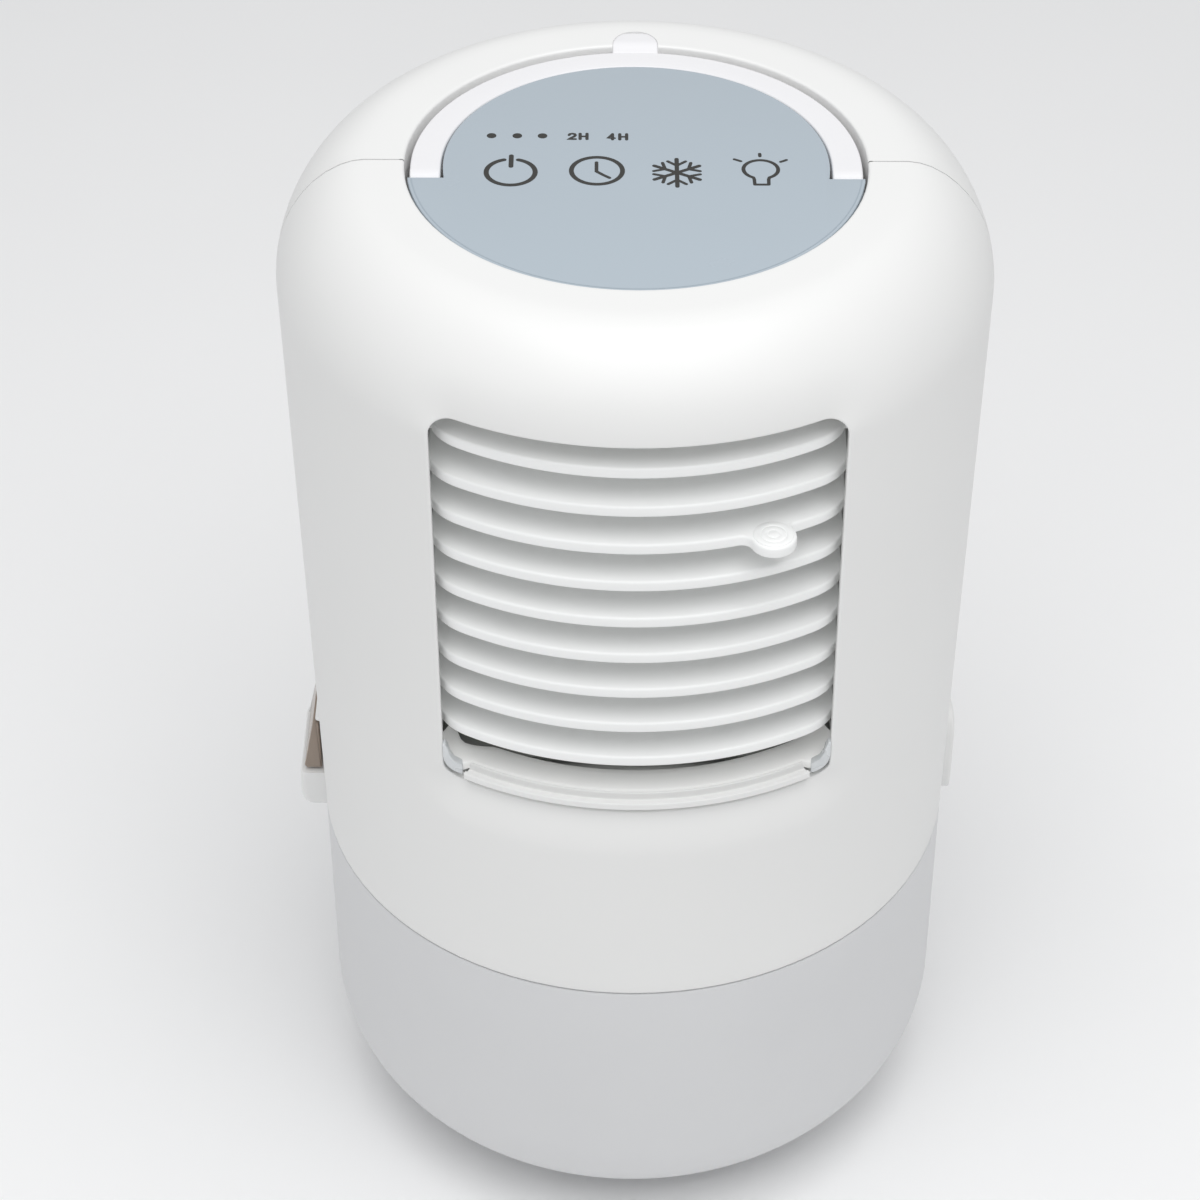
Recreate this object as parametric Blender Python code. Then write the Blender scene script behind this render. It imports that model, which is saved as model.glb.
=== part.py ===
"""Desktop evaporative air cooler with a water tank that doubles as a lamp base.

Frame: metres, +Z up, front of the cooler towards -Y, origin at the centre of the
base pad's underside.  All dimensions below are in millimetres and are scaled to
metres when the meshes are made.

Bodies:
  tank          water_tank, base_pad                          (stands on the table)
  head          shells, deck, electronics, fan housing, pump   (lifts straight up)
  handle        handle, lift tab                               (hinge about X)
  slat_1..9     louvre slats, finger tab on slat_3             (hinges about X)
  link          link_bar                                       (hinge on slat_3)
  fan           fan_rotor, motor_shaft                         (turns about Y)
  filter_drawer rear_grille, filter_frame, filter_pad          (slides along +Y)
  hopper        fill_hopper                                    (hinge about Y)
"""
import math

import bmesh
import bpy

MM = 0.001

# ---------------------------------------------------------------- driving sizes
HEIGHT = 267.0            # top of the housing
R_SHOULDER = 79.0         # largest radius, where the shoulder starts
R_SEAM = 77.0             # radius at the head/tank seam
Z_SEAM = 89.1             # underside of the head's shells
Z_RIM = 88.7              # rim of the tank
WALL = 2.2                # shell thickness
Z_SHOULDER = 241.0        # start of the shoulder
SHOULDER_W = 20.3         # radial run of the shoulder
SHOULDER_EXP = 1.78       # superellipse exponent of the shoulder
R_HOLE = 50.0             # round opening in the top
LIP_BOTTOM = 257.4        # lower end of the lip that lines that opening

TANK_FLAT = 40.0          # radius of the flat bottom
TANK_FILLET_Z = 33.0      # height where the bottom rounding ends
TANK_EXP = 1.88
TANK_BOTTOM = 1.2
TANK_WALL = 2.4
PAD_R = 36.0              # non-slip base pad
PAD_T = 2.2

WIN_HALF = 43.5           # louvre opening, half width
WIN_Z0, WIN_Z1 = 147.0, 246.2
WIN_R = 6.0

SLATS = 9
SLAT_PITCH = 9.83
SLAT_Z0 = 237.6           # underside of the top slat's lip
SLAT_R = 75.3             # plan radius of the slats' front edges
SLAT_HALF = 42.9
SLAT_BACK = -53.6         # back edge
SLAT_T = 1.5
SLAT_LIP = 2.6
PIVOT_Y = -56.0
LUG_X = -34.0
LINK_Y = -48.0

TAB_ANGLE = 21.4          # finger tab: degrees to the right of the front
TAB_AT = 77.0             # distance of its centre from the axis
TAB_R = 4.9

HANDLE_IN, HANDLE_OUT = 42.2, 47.6
HINGE_Y, HINGE_Z = -2.1, 262.6
HANDLE_END_R = 3.4
PANEL_TOP = 266.2
PANEL_T = 1.5

FAN_Z = 190.0
FAN_TIP = 48.5
FAN_HOLE = 52.0

DRAWER_HALF = 43.5
DRAWER_Z0, DRAWER_Z1 = 103.5, 236.5

HOPPER_PIVOT = (82.9, 91.1)   # distance to the left of the axis, height

HALF_SEG = 26             # facets of a half turn of the shells


# ------------------------------------------------------------------- helpers
def clear_scene():
    for obj in list(bpy.data.objects):
        bpy.data.objects.remove(obj, do_unlink=True)


def material(name, colour, roughness, metallic=0.0, transmission=0.0):
    mat = bpy.data.materials.new(name)
    mat.use_nodes = True
    bsdf = mat.node_tree.nodes["Principled BSDF"]
    bsdf.inputs["Base Color"].default_value = (*colour, 1.0)
    bsdf.inputs["Roughness"].default_value = roughness
    bsdf.inputs["Metallic"].default_value = metallic
    bsdf.inputs["Transmission Weight"].default_value = transmission
    mat.diffuse_color = (*colour, 1.0)
    return mat


def add(name, verts, faces, look=None, origin=(0.0, 0.0, 0.0), parent=None, helper=False, sharp=32.0):
    """One mesh object from points in millimetres, with its origin where asked."""
    bm = bmesh.new()
    made = [bm.verts.new([(v[i] - origin[i]) * MM for i in range(3)]) for v in verts]
    for face in faces:
        bm.faces.new([made[i] for i in face])
    bm.normal_update()
    bmesh.ops.recalc_face_normals(bm, faces=bm.faces)
    if bm.calc_volume(signed=True) < 0:
        bmesh.ops.reverse_faces(bm, faces=bm.faces)
    mesh = bpy.data.meshes.new(name)
    bm.to_mesh(mesh)
    bm.free()
    mesh.shade_smooth()
    mesh.set_sharp_from_angle(angle=math.radians(sharp))
    obj = bpy.data.objects.new(name, mesh)
    obj.location = [c * MM for c in origin]
    bpy.context.scene.collection.objects.link(obj)
    if helper:
        obj.hide_render = True
        obj.display_type = "WIRE"
    else:
        mesh.materials.append(look)
    if parent is not None:
        obj.parent = parent
        obj.location = [c * MM - parent.location[i] for i, c in enumerate(origin)]
    return obj


def boolean(obj, other, operation="DIFFERENCE"):
    mod = obj.modifiers.new(f"{operation.lower()}_{other.name}", "BOOLEAN")
    mod.operation = operation
    mod.object = other
    mod.solver = "EXACT"


def superellipse(n, exponent, start=0.0, end=90.0):
    """(cos, sin) pairs raised so that they follow a superellipse of this exponent."""
    out = []
    for k in range(n + 1):
        a = math.radians(start + (end - start) * k / n)
        out.append((max(math.cos(a), 0.0) ** (2 / exponent), max(math.sin(a), 0.0) ** (2 / exponent)))
    return out


def revolve(profile, n, place=lambda x, y, t: (x, y, t), a0=0.0, a1=360.0):
    """Turns a closed (radius, height) profile, all round or between two angles."""
    full = abs(a1 - a0) >= 359.999
    steps = n if full else n + 1
    verts, rings = [], []
    for r, t in profile:
        if r < 1e-6:
            rings.append([len(verts)] * steps)
            verts.append(place(0.0, 0.0, t))
            continue
        ring = []
        for k in range(steps):
            a = math.radians(a0 + (a1 - a0) * k / n)
            ring.append(len(verts))
            verts.append(place(r * math.cos(a), r * math.sin(a), t))
        rings.append(ring)
    faces = []
    m = len(profile)
    for i in range(m):
        p, q = rings[i], rings[(i + 1) % m]
        for k in range(n):
            j = (k + 1) % steps
            loop = []
            for v in (p[k], p[j], q[j], q[k]):
                if v not in loop:
                    loop.append(v)
            if len(loop) > 2:
                faces.append(loop)
    if not full:
        faces.append([ring[0] for ring in rings])
        faces.append([ring[-1] for ring in rings][::-1])
    return verts, faces


def loft(sections):
    """Skins sections with equal numbers of points, and caps both ends."""
    m = len(sections[0])
    verts = [p for s in sections for p in s]
    faces = [list(range(m))[::-1], [len(verts) - m + i for i in range(m)]]
    for s in range(len(sections) - 1):
        for i in range(m):
            j = (i + 1) % m
            faces.append([s * m + i, s * m + j, (s + 1) * m + j, (s + 1) * m + i])
    return verts, faces


def prism(outline, axis, lo, hi):
    """Extrudes a 2-D outline: (a, b) is (x, y), (x, z) or (y, z) for axis z, y or x."""
    put = {
        "z": lambda a, b, t: (a, b, t),
        "y": lambda a, b, t: (a, t, b),
        "x": lambda a, b, t: (t, a, b),
    }[axis]
    return loft([[put(a, b, lo) for a, b in outline], [put(a, b, hi) for a, b in outline]])


def join(parts):
    """Puts several closed shapes into one mesh, for a cutter with separate teeth."""
    verts, faces = [], []
    for v, f in parts:
        base = len(verts)
        verts += v
        faces += [[i + base for i in face] for face in f]
    return verts, faces


def rounded(a0, a1, b0, b1, r, n=3):
    out = []
    for ca, cb, start in ((a1 - r, b1 - r, 0), (a0 + r, b1 - r, 90), (a0 + r, b0 + r, 180), (a1 - r, b0 + r, 270)):
        for k in range(n + 1):
            t = math.radians(start + 90 * k / n)
            out.append((ca + r * math.cos(t), cb + r * math.sin(t)))
    return out


def circle(ca, cb, r, n, start=0.0):
    return [(ca + r * math.cos(math.radians(start) + 2 * math.pi * k / n), cb + r * math.sin(math.radians(start) + 2 * math.pi * k / n)) for k in range(n)]


def empty(name, at, parent=None):
    obj = bpy.data.objects.new(name, None)
    obj.empty_display_size = 0.01
    obj.location = [c * MM for c in at]
    bpy.context.scene.collection.objects.link(obj)
    if parent is not None:
        obj.parent = parent
        obj.location = [c * MM - p for c, p in zip(at, parent.matrix_basis.translation)]
    return obj


clear_scene()

WHITE = material("white_shell", (0.86, 0.86, 0.85), 0.38)
WHITE_HANDLE = material("white_handle", (0.88, 0.87, 0.89), 0.42)
SLAT_WHITE = material("white_slat", (0.84, 0.84, 0.83), 0.36)
FROSTED = material("frosted_tank", (0.62, 0.65, 0.68), 0.45, transmission=0.35)
PANEL_BLUE = material("panel_blue_grey", (0.42, 0.49, 0.53), 0.22)
CLEAR = material("clear_corner", (0.78, 0.80, 0.82), 0.25, transmission=0.5)
TINTED = material("tinted_hopper", (0.42, 0.34, 0.27), 0.25, transmission=0.4)
GREY = material("grey_plastic", (0.30, 0.31, 0.30), 0.5)
DARK = material("dark_plastic", (0.05, 0.05, 0.055), 0.45)
RUBBER = material("grey_rubber", (0.18, 0.18, 0.18), 0.8)
STEEL = material("steel", (0.60, 0.60, 0.62), 0.3, 1.0)
BOARD = material("circuit_board", (0.03, 0.16, 0.07), 0.5)
PAPER = material("filter_paper", (0.62, 0.55, 0.44), 0.9)
LAMP = material("lamp_board", (0.80, 0.80, 0.78), 0.4)

head = empty("head_frame", (0, 0, 0))
handle_axis = empty("handle_axis", (0, HINGE_Y, HINGE_Z))
fan_axis = empty("fan_axis", (0, 0, FAN_Z))
drawer_axis = empty("drawer_frame", (0, 0, 0))
hopper_axis = empty("hopper_axis", (-HOPPER_PIVOT[0], 14.0, HOPPER_PIVOT[1]))


def r_out(z):
    """Outer radius of the shells below the shoulder."""
    return R_SEAM + (R_SHOULDER - R_SEAM) * (z - 89.0) / (Z_SHOULDER - 89.0)


# ------------------------------------------------------------- tank and its pad
outer, inner = [], []
for c, s in superellipse(6, TANK_EXP, 90.0, 0.0):
    outer.append((TANK_FLAT + (R_SEAM - TANK_FLAT) * c, TANK_FILLET_Z - (TANK_FILLET_Z - TANK_BOTTOM) * s))
floor = TANK_BOTTOM + 1.4 + TANK_WALL
for c, s in superellipse(4, TANK_EXP, 0.0, 90.0):
    inner.append((TANK_FLAT - 2 + (R_SEAM - TANK_WALL - TANK_FLAT + 2) * c, TANK_FILLET_Z - (TANK_FILLET_Z - floor) * s))
tank_profile = [(0.0, 2.6), (PAD_R + 0.4, 2.6), (PAD_R + 0.4, TANK_BOTTOM)] + outer
tank_profile += [(R_SEAM, Z_RIM), (R_SEAM - TANK_WALL, Z_RIM)]
tank_profile += inner + [(0.0, floor)]
add("water_tank", *revolve(tank_profile, 44), FROSTED)
add("base_pad", *revolve([(0, 0), (PAD_R - 0.5, 0), (PAD_R, 0.5), (PAD_R, PAD_T), (0, PAD_T)], 36), RUBBER)

# -------------------------------------------------------------------- housing
shell = [(R_SEAM, Z_SEAM)]
for c, s in superellipse(7, SHOULDER_EXP):
    shell.append((R_SHOULDER - SHOULDER_W + SHOULDER_W * c, Z_SHOULDER + (HEIGHT - Z_SHOULDER) * s))
shell += [(R_HOLE + 0.6, HEIGHT - 0.05), (R_HOLE, HEIGHT - 0.65), (R_HOLE, LIP_BOTTOM), (R_HOLE + 1.8, LIP_BOTTOM)]
shell.append((R_HOLE + 1.8, HEIGHT - WALL))
for c, s in superellipse(4, SHOULDER_EXP, 90.0, 0.0):
    shell.append((R_SHOULDER - SHOULDER_W + (SHOULDER_W - WALL) * c, Z_SHOULDER + (HEIGHT - WALL - Z_SHOULDER) * s))
shell += [(R_SEAM - WALL, Z_SEAM)]
SPLIT = math.degrees(0.15 / R_HOLE)

front_shell = add("front_shell", *revolve(shell, HALF_SEG, a0=180 + SPLIT, a1=360 - SPLIT), WHITE, parent=head)
rear_shell = add("rear_shell", *revolve(shell, HALF_SEG, a0=SPLIT, a1=180 - SPLIT), WHITE, parent=head)

window = add("cut_window", *prism(rounded(-WIN_HALF, WIN_HALF, WIN_Z0, WIN_Z1, WIN_R, 4), "y", -110, -30), helper=True)
boolean(front_shell, window)

drawer_hole = add("cut_drawer", *prism(rounded(-DRAWER_HALF, DRAWER_HALF, DRAWER_Z0, DRAWER_Z1, 7.0, 3), "y", 30, 110), helper=True)
boolean(rear_shell, drawer_hole)

# notch in the rear rim for the handle's lift tab
def tab_outline(grow):
    pts = [(-5.2 - grow, 45.0)]
    for k in range(9):
        t = math.radians(180 - 180 * k / 8)
        pts.append(((5.0 + grow) * math.cos(t), 50.6 + (5.6 + grow) * math.sin(t)))
    pts.append((5.2 + grow, 45.0))
    return pts


notch = add("cut_notch", *prism(tab_outline(0.45), "z", 263.2, 275.0), helper=True)
boolean(rear_shell, notch)

# inlet hole on the right and fill hole on the left, both in the rear shell
INLET_Y, INLET_Z = 9.0, 97.0
inlet_hole = add("cut_inlet", *prism(circle(INLET_Y, INLET_Z, 4.7, 12), "x", 60, 90), helper=True)
boolean(rear_shell, inlet_hole)
fill_hole = add("cut_fill", *prism(rounded(5.0, 23.0, 93.2, 99.4, 1.0, 2), "x", -90, -60), helper=True)
boolean(rear_shell, fill_hole)

# screws beside the drawer: counterbore, through hole and the screw itself
SCREW_ANGLE = 42.0


def radial(angle, z):
    """Maps (x, y, t) so that t runs outwards along a horizontal radius."""
    ca, sa = math.cos(math.radians(angle)), math.sin(math.radians(angle))
    return lambda x, y, t: (t * ca - x * sa, t * sa + x * ca, z + y)


number = 0
for z in (112.0, 228.0):
    for angle in (SCREW_ANGLE, 180 - SCREW_ANGLE):
        number += 1
        seat = r_out(z) - 1.15
        bore = add(
            f"cut_screw_{number}",
            *revolve([(0, 60), (1.7, 60), (1.7, seat), (3.6, seat), (3.6, 90), (0, 90)], 12, radial(angle, z)),
            helper=True,
        )
        boolean(rear_shell, bore)
        add(
            f"screw_{number}",
            *revolve(
                [(0, 64), (1.2, 64), (1.4, 65), (1.4, seat + 0.3), (3.1, seat + 0.3), (3.1, seat + 0.9), (2.3, seat + 1.3),
                 (0.9, seat + 1.3), (0.9, seat + 0.6), (0, seat + 0.6)],
                12, radial(angle, z)),
            STEEL, parent=head)

# tray that closes the head's underside and plugs into the tank
TRAY_Z0, TRAY_Z1 = 89.6, 92.0
tray = add(
    "chassis_tray",
    *revolve([(0, TRAY_Z0), (70.6, TRAY_Z0), (70.6, 82.0), (72.8, 82.0), (72.8, 88.0), (74.1, 89.2), (74.1, TRAY_Z1), (0, TRAY_Z1)], 36),
    WHITE, parent=head)
tray_holes = add(
    "cut_tray",
    *join([
        prism(circle(48, 18, 3.4, 12), "z", 80, 100),
        prism(rounded(-70, -60, 6, 22, 2.0, 2), "z", 80, 100),
        prism(rounded(-26, 26, 34, 44, 4.0, 2), "z", 80, 100),
    ]), helper=True)
boolean(tray, tray_holes)
add("tank_seal", *revolve([(73.1, 83.4), (74.2, 83.9), (74.2, 85.1), (73.1, 85.6)], 36), RUBBER, parent=head)
add("lamp_board", *revolve([(56, 87.6), (69, 87.6), (69, 89.2), (56, 89.2)], 32), LAMP, parent=head)

# -------------------------------------------------------------- deck and panel
FRONT_LINE = HINGE_Y - HANDLE_END_R - 0.4      # the handle's ends stop just behind this line


def keyhole(r_front, r_rear, n_front=20, n_rear=20):
    """Front part of a disc of one radius and the rest of a smaller disc behind it."""
    a_front = math.degrees(math.acos(min(1.0, -FRONT_LINE / r_front)))
    a_rear = math.degrees(math.asin(-FRONT_LINE / r_rear))
    pts = []
    for k in range(n_front + 1):
        a = math.radians(-90 - a_front + 2 * a_front * k / n_front)
        pts.append((r_front * math.cos(a), r_front * math.sin(a)))
    for k in range(n_rear + 1):
        a = math.radians(-a_rear + (180 + 2 * a_rear) * k / n_rear)
        pts.append((r_rear * math.cos(a), r_rear * math.sin(a)))
    return pts


DECK_Z0, DECK_Z1 = 254.4, 257.0
deck = add("top_deck", *revolve([(0, DECK_Z0), (57, DECK_Z0), (57, DECK_Z1), (0, DECK_Z1)], 36), WHITE, parent=head)
BOSS_TOP = PANEL_TOP - PANEL_T - 0.3
boss = add("add_boss", *prism(keyhole(49.2, HANDLE_IN - 0.5, 16, 16), "z", 255.6, BOSS_TOP), helper=True)
boolean(deck, boss, "UNION")
add("touch_panel", *prism(keyhole(49.5, HANDLE_IN - 0.45, 22, 22), "z", PANEL_TOP - PANEL_T, PANEL_TOP), PANEL_BLUE, parent=head)
add("control_board", *prism(rounded(-36, 36, -24, 24, 3, 2), "z", 251.6, 253.2), BOARD, parent=head)

# --------------------------------------------------------------------- handle
section = [(HANDLE_IN, HINGE_Z - HANDLE_END_R), (HANDLE_OUT, HINGE_Z - HANDLE_END_R), (HANDLE_OUT, HINGE_Z + HANDLE_END_R), (HANDLE_IN, HINGE_Z + HANDLE_END_R)]
N_ARC = 24
verts, faces = [], []
for k in range(N_ARC + 1):
    a = math.pi * k / N_ARC
    for r, z in section:
        verts.append((r * math.cos(a), r * math.sin(a), z))
for k in range(N_ARC):
    for i in range(4):
        j = (i + 1) % 4
        faces.append([4 * k + i, 4 * k + j, 4 * k + 4 + j, 4 * k + 4 + i])
for end, sign in ((0, 1), (4 * N_ARC, -1)):
    # the end runs forward to the hinge and closes in a half cylinder about it
    near, far = [end + 3], [end + 2]
    for k in range(9):
        a = math.pi * k / 8
        y, z = HINGE_Y - HANDLE_END_R * math.sin(a), HINGE_Z + HANDLE_END_R * math.cos(a)
        near.append(len(verts))
        verts.append((sign * HANDLE_IN, y, z))
        far.append(len(verts))
        verts.append((sign * HANDLE_OUT, y, z))
    near.append(end)
    far.append(end + 1)
    faces.append(near)
    faces.append(far[::-1])
    for k in range(len(near) - 1):
        faces.append([near[k], near[k + 1], far[k + 1], far[k]])
handle = add("handle", verts, faces, WHITE_HANDLE, origin=(0, HINGE_Y, HINGE_Z), parent=handle_axis)
pin_bores = add(
    "cut_pins",
    *join([prism(circle(HINGE_Y, HINGE_Z, 1.4, 12), "x", 36.0, 49.0), prism(circle(HINGE_Y, HINGE_Z, 1.4, 12), "x", -49.0, -36.0)]),
    helper=True)
boolean(handle, pin_bores)
boolean(deck, pin_bores)
add("handle_pin_right", *prism(circle(HINGE_Y, HINGE_Z, 1.1, 12), "x", 36.4, 47.3), STEEL, parent=head)
add("handle_pin_left", *prism(circle(HINGE_Y, HINGE_Z, 1.1, 12), "x", -47.3, -36.4), STEEL, parent=head)

# lift tab: a D-shaped finger tab that bridges from the handle's crown to the rear shell
tab = []
for x, y in tab_outline(0.0):
    tab.append((x, max(y, 48.0 + 0.0)))
tops, bottoms = [], []
for x, y in tab:
    tops.append((x, y, 266.2 + 0.9 * min(1.0, (y - 48.0) / 4.0)))
    bottoms.append((x, y, 263.9))
lift_tab = add("handle_lift_tab", *loft([bottoms, tops]), WHITE_HANDLE, origin=(0, HINGE_Y, HINGE_Z), parent=handle_axis)

# -------------------------------------------------------------------- louvre
frame_tube = add("louvre_frame", *prism(rounded(-46.2, 46.2, 144.6, 249.0, 7.5, 3), "y", -82, -34), WHITE, parent=head)
frame_inside = add("cut_frame", *prism(rounded(-44.4, 44.4, 146.4, 247.2, 6.0, 3), "y", -90, -20), helper=True)
boolean(frame_tube, frame_inside)
frame_limit = add("keep_frame", *revolve([(0, 130), (74.1, 130), (75.4, 244), (73.6, 252), (73.6, 262), (0, 262)], 64), helper=True)
boolean(frame_tube, frame_limit, "INTERSECT")


def slat_z(i):
    return SLAT_Z0 - SLAT_PITCH * i


def pivot_z(i):
    return slat_z(i) + SLAT_T / 2


frame_pins = add(
    "cut_frame_pins",
    *join([prism(circle(PIVOT_Y, pivot_z(i), 1.45, 8, 22.5), "x", -50, 50) for i in range(SLATS)]),
    helper=True)
boolean(frame_tube, frame_pins)

# sill under the bottom slat, and the clear fillers in the opening's lower corners
SILL = 30.5
add("louvre_sill",
    *revolve([(64.5, 147.4), (76.2, 147.4), (76.2, 149.7), (75.0, 150.0), (64.5, 152.4)], 14, a0=-90 - SILL, a1=-90 + SILL),
    WHITE, parent=head)
lens = [(37.5 + 5.7 * math.cos(math.radians(a)), 153.0 + 5.7 * math.sin(math.radians(a))) for a in (-75, -60, -45, -30, -15, 0)]
lens += [(43.2, 156.2), (42.6, 156.4), (42.1, 155.2), (41.7, 153.2), (40.8, 151.5), (lens[0][0], 150.2)]
add("corner_lens_right", *prism(lens, "y", -65.0, -62.9), CLEAR, parent=head)
add("corner_lens_left", *prism([(-x, z) for x, z in lens][::-1], "y", -65.0, -62.9), CLEAR, parent=head)


def slat_front(x):
    """Distance forward of the axis of a slat's front edge, with rounded plan corners."""
    x = abs(x)
    corner = 5.0
    edge = SLAT_HALF - corner
    y_arc = math.sqrt(SLAT_R**2 - min(x, edge) ** 2)
    if x <= edge:
        return -y_arc
    u = (x - edge) / corner
    slope = edge / y_arc
    drop = (x - edge) * slope
    return -(y_arc - drop - corner * 0.72 * (1 - math.sqrt(max(0.0, 1 - u * u))))


stations = [-SLAT_HALF, -42.4, -40.6, -37.9] + [-37.9 + 75.8 * k / 8 for k in range(1, 8)] + [37.9, 40.6, 42.4, SLAT_HALF]
slats = []
link_axis = None
for i in range(SLATS):
    name = f"slat_{i + 1}"
    axis = empty(f"{name}_axis", (0, PIVOT_Y, pivot_z(i)))
    z0 = slat_z(i)
    sections = []
    for x in stations:
        f = slat_front(x)
        sections.append([
            (x, f + 0.4, z0), (x, f, z0 + SLAT_LIP / 2), (x, f + 0.4, z0 + SLAT_LIP),
            (x, f + 1.6, z0 + SLAT_T), (x, SLAT_BACK, z0 + SLAT_T), (x, SLAT_BACK, z0)])
    slat = add(name, *loft(sections), SLAT_WHITE, origin=(0, PIVOT_Y, pivot_z(i)), parent=axis)
    mid = z0 + SLAT_T / 2
    pins = add(
        f"add_{name}_pins",
        *join([
            prism(circle(PIVOT_Y, mid, 1.15, 8, 22.5), "x", 42.0, 45.9),
            prism(circle(PIVOT_Y, mid, 1.15, 8, 22.5), "x", -45.9, -42.0),
        ]), helper=True)
    boolean(slat, pins, "UNION")
    lug = add(f"add_{name}_lug", *prism(rounded(-55.5, LINK_Y + 1.3, mid - 1.3, mid + 1.3, 1.0, 2), "x", LUG_X, LUG_X + 1.4), helper=True)
    boolean(slat, lug, "UNION")
    pin = add(f"add_{name}_link_pin", *prism(circle(LINK_Y, mid, 0.85, 8, 22.5), "x", LUG_X + 0.7, LUG_X + 4.2), helper=True)
    boolean(slat, pin, "UNION")
    slats.append(slat)

# round finger tab moulded on the lip of the third slat: it lies flat and stands out in front
tab_x = TAB_AT * math.sin(math.radians(TAB_ANGLE))
tab_y = -TAB_AT * math.cos(math.radians(TAB_ANGLE))
tab_z = slat_z(2)
finger_tab = add("add_finger_tab",
                 *revolve([(0, tab_z + 0.05), (TAB_R - 0.4, tab_z + 0.05), (TAB_R, tab_z + 0.6), (TAB_R, tab_z + 2.0), (TAB_R - 0.7, tab_z + 2.9), (0, tab_z + 2.9)],
                          24, lambda x, y, t: (tab_x + x, tab_y + y, t)),
                 helper=True)
boolean(slats[2], finger_tab, "UNION")

link_axis = empty("link_axis", (0, LINK_Y, pivot_z(2)))
bar = add("link_bar",
          *prism(rounded(LINK_Y - 2.6, LINK_Y + 2.6, pivot_z(SLATS - 1) - 3.6, pivot_z(0) + 3.6, 2.4, 3), "x", LUG_X + 1.8, LUG_X + 3.4),
          GREY, origin=(0, LINK_Y, pivot_z(2)), parent=link_axis)
bar_holes = add("cut_link", *join([prism(circle(LINK_Y, pivot_z(i), 1.2, 8, 22.5), "x", LUG_X, LUG_X + 6) for i in range(SLATS)]), helper=True)
boolean(bar, bar_holes)

# ------------------------------------------------------------------ fan group
def along_y(x, y, t):
    return (x, t, FAN_Z + y)


shroud = add("fan_shroud", *prism(rounded(-69.5, 69.5, 96.0, 248.5, 8, 3), "y", -16, -13.4), WHITE, parent=head)
shroud_hole = add("cut_shroud", *prism(circle(0, FAN_Z, FAN_HOLE, 36), "y", -30, 0), helper=True)
boolean(shroud, shroud_hole)

spider = []
for k in range(4):
    a = math.radians(45 + 90 * k)
    ca, sa = math.cos(a), math.sin(a)
    for u, v in ((19.7, -3.5), (58.0, -3.5), (58.0, 3.5), (19.7, 3.5)):
        spider.append((u * ca - v * sa, FAN_Z + u * sa + v * ca))
    for t in (22.5, 45.0, 67.5):
        b = a + math.radians(t)
        spider.append((20.0 * math.cos(b), FAN_Z + 20.0 * math.sin(b)))
bracket = add("motor_bracket", *prism(spider, "y", -13.0, -10.2), WHITE, parent=head)
shaft_hole = add("cut_shaft", *prism(circle(0, FAN_Z, 3.0, 12), "y", -20, 0), helper=True)
boolean(bracket, shaft_hole)
add("fan_motor", *revolve([(0, -9.8), (15.5, -9.8), (17.0, -8.3), (17.0, 12.0), (15.0, 14.0), (0, 14.0)], 28, along_y), STEEL, parent=head)
add("motor_shaft", *revolve([(0, -24.4), (1.5, -24.4), (1.5, -10.2), (0, -10.2)], 12, along_y), STEEL, origin=(0, 0, FAN_Z), parent=fan_axis)

rotor = add("fan_rotor",
            *revolve([(0, -31.5), (8.0, -31.0), (13.5, -29.2), (16.5, -26.0), (16.5, -16.5), (1.8, -16.5), (1.8, -24.8), (0, -24.8)], 21, along_y),
            GREY, origin=(0, 0, FAN_Z), parent=fan_axis)
BLADES = 7
for k in range(BLADES):
    a = 2 * math.pi * k / BLADES
    sections = []
    for r, chord, pitch in ((15.0, 15.0, 48.0), (30.0, 20.0, 38.0), (FAN_TIP, 21.0, 28.0)):
        cp, sp = math.cos(math.radians(pitch)), math.sin(math.radians(pitch))
        section = []
        for s, t in ((-0.5, 0.3), (0.0, 1.0), (0.5, 0.3), (0.5, -0.3), (0.0, 0.1), (-0.5, -0.3)):
            w, h = s * chord, t
            section.append((w * cp - h * sp, -20.5 + w * sp + h * cp, r))
        ring = []
        for w, y, r_ in section:
            x_, z_ = r_ * math.cos(a) - w * math.sin(a), r_ * math.sin(a) + w * math.cos(a)
            ring.append((x_, y, FAN_Z + z_))
        sections.append(ring)
    blade = add(f"add_blade_{k + 1}", *loft(sections), helper=True)
    boolean(rotor, blade, "UNION")

# -------------------------------------------------- filter drawer in the back
DRAWER_T = 0.45
patch_profile = [(R_SEAM + 0.1, 95.0), (r_out(245), 245.0), (r_out(245) - WALL, 245.0), (R_SEAM + 0.1 - WALL, 95.0)]
grille = add("rear_grille", *revolve(patch_profile, 12, a0=90 - 36.0, a1=90 + 36.0), WHITE, parent=drawer_axis)
patch_keep = add("keep_grille",
                 *prism(rounded(-DRAWER_HALF + DRAWER_T, DRAWER_HALF - DRAWER_T, DRAWER_Z0 + DRAWER_T, DRAWER_Z1 - DRAWER_T, 6.6, 3), "y", 40, 100),
                 helper=True)
boolean(grille, patch_keep, "INTERSECT")
SLOTS = 10
slots = add("cut_slots",
            *join([prism(rounded(-35, 35, 113 + 11.6 * k, 119 + 11.6 * k, 2.4, 1), "y", 50, 95) for k in range(SLOTS)]),
            helper=True)
boolean(grille, slots)
filter_frame = add("filter_frame", *prism(rounded(-38.5, 38.5, 108.0, 232.0, 3, 2), "y", 27.0, 64.0), WHITE, parent=drawer_axis)
filter_inside = add("cut_filter", *prism(rounded(-36.5, 36.5, 110.0, 230.0, 2, 2), "y", 20, 75), helper=True)
boolean(filter_frame, filter_inside)
add("filter_pad", *prism(rounded(-36.1, 36.1, 110.4, 229.6, 1.6, 2), "y", 29.0, 58.0), PAPER, parent=drawer_axis)

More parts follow.
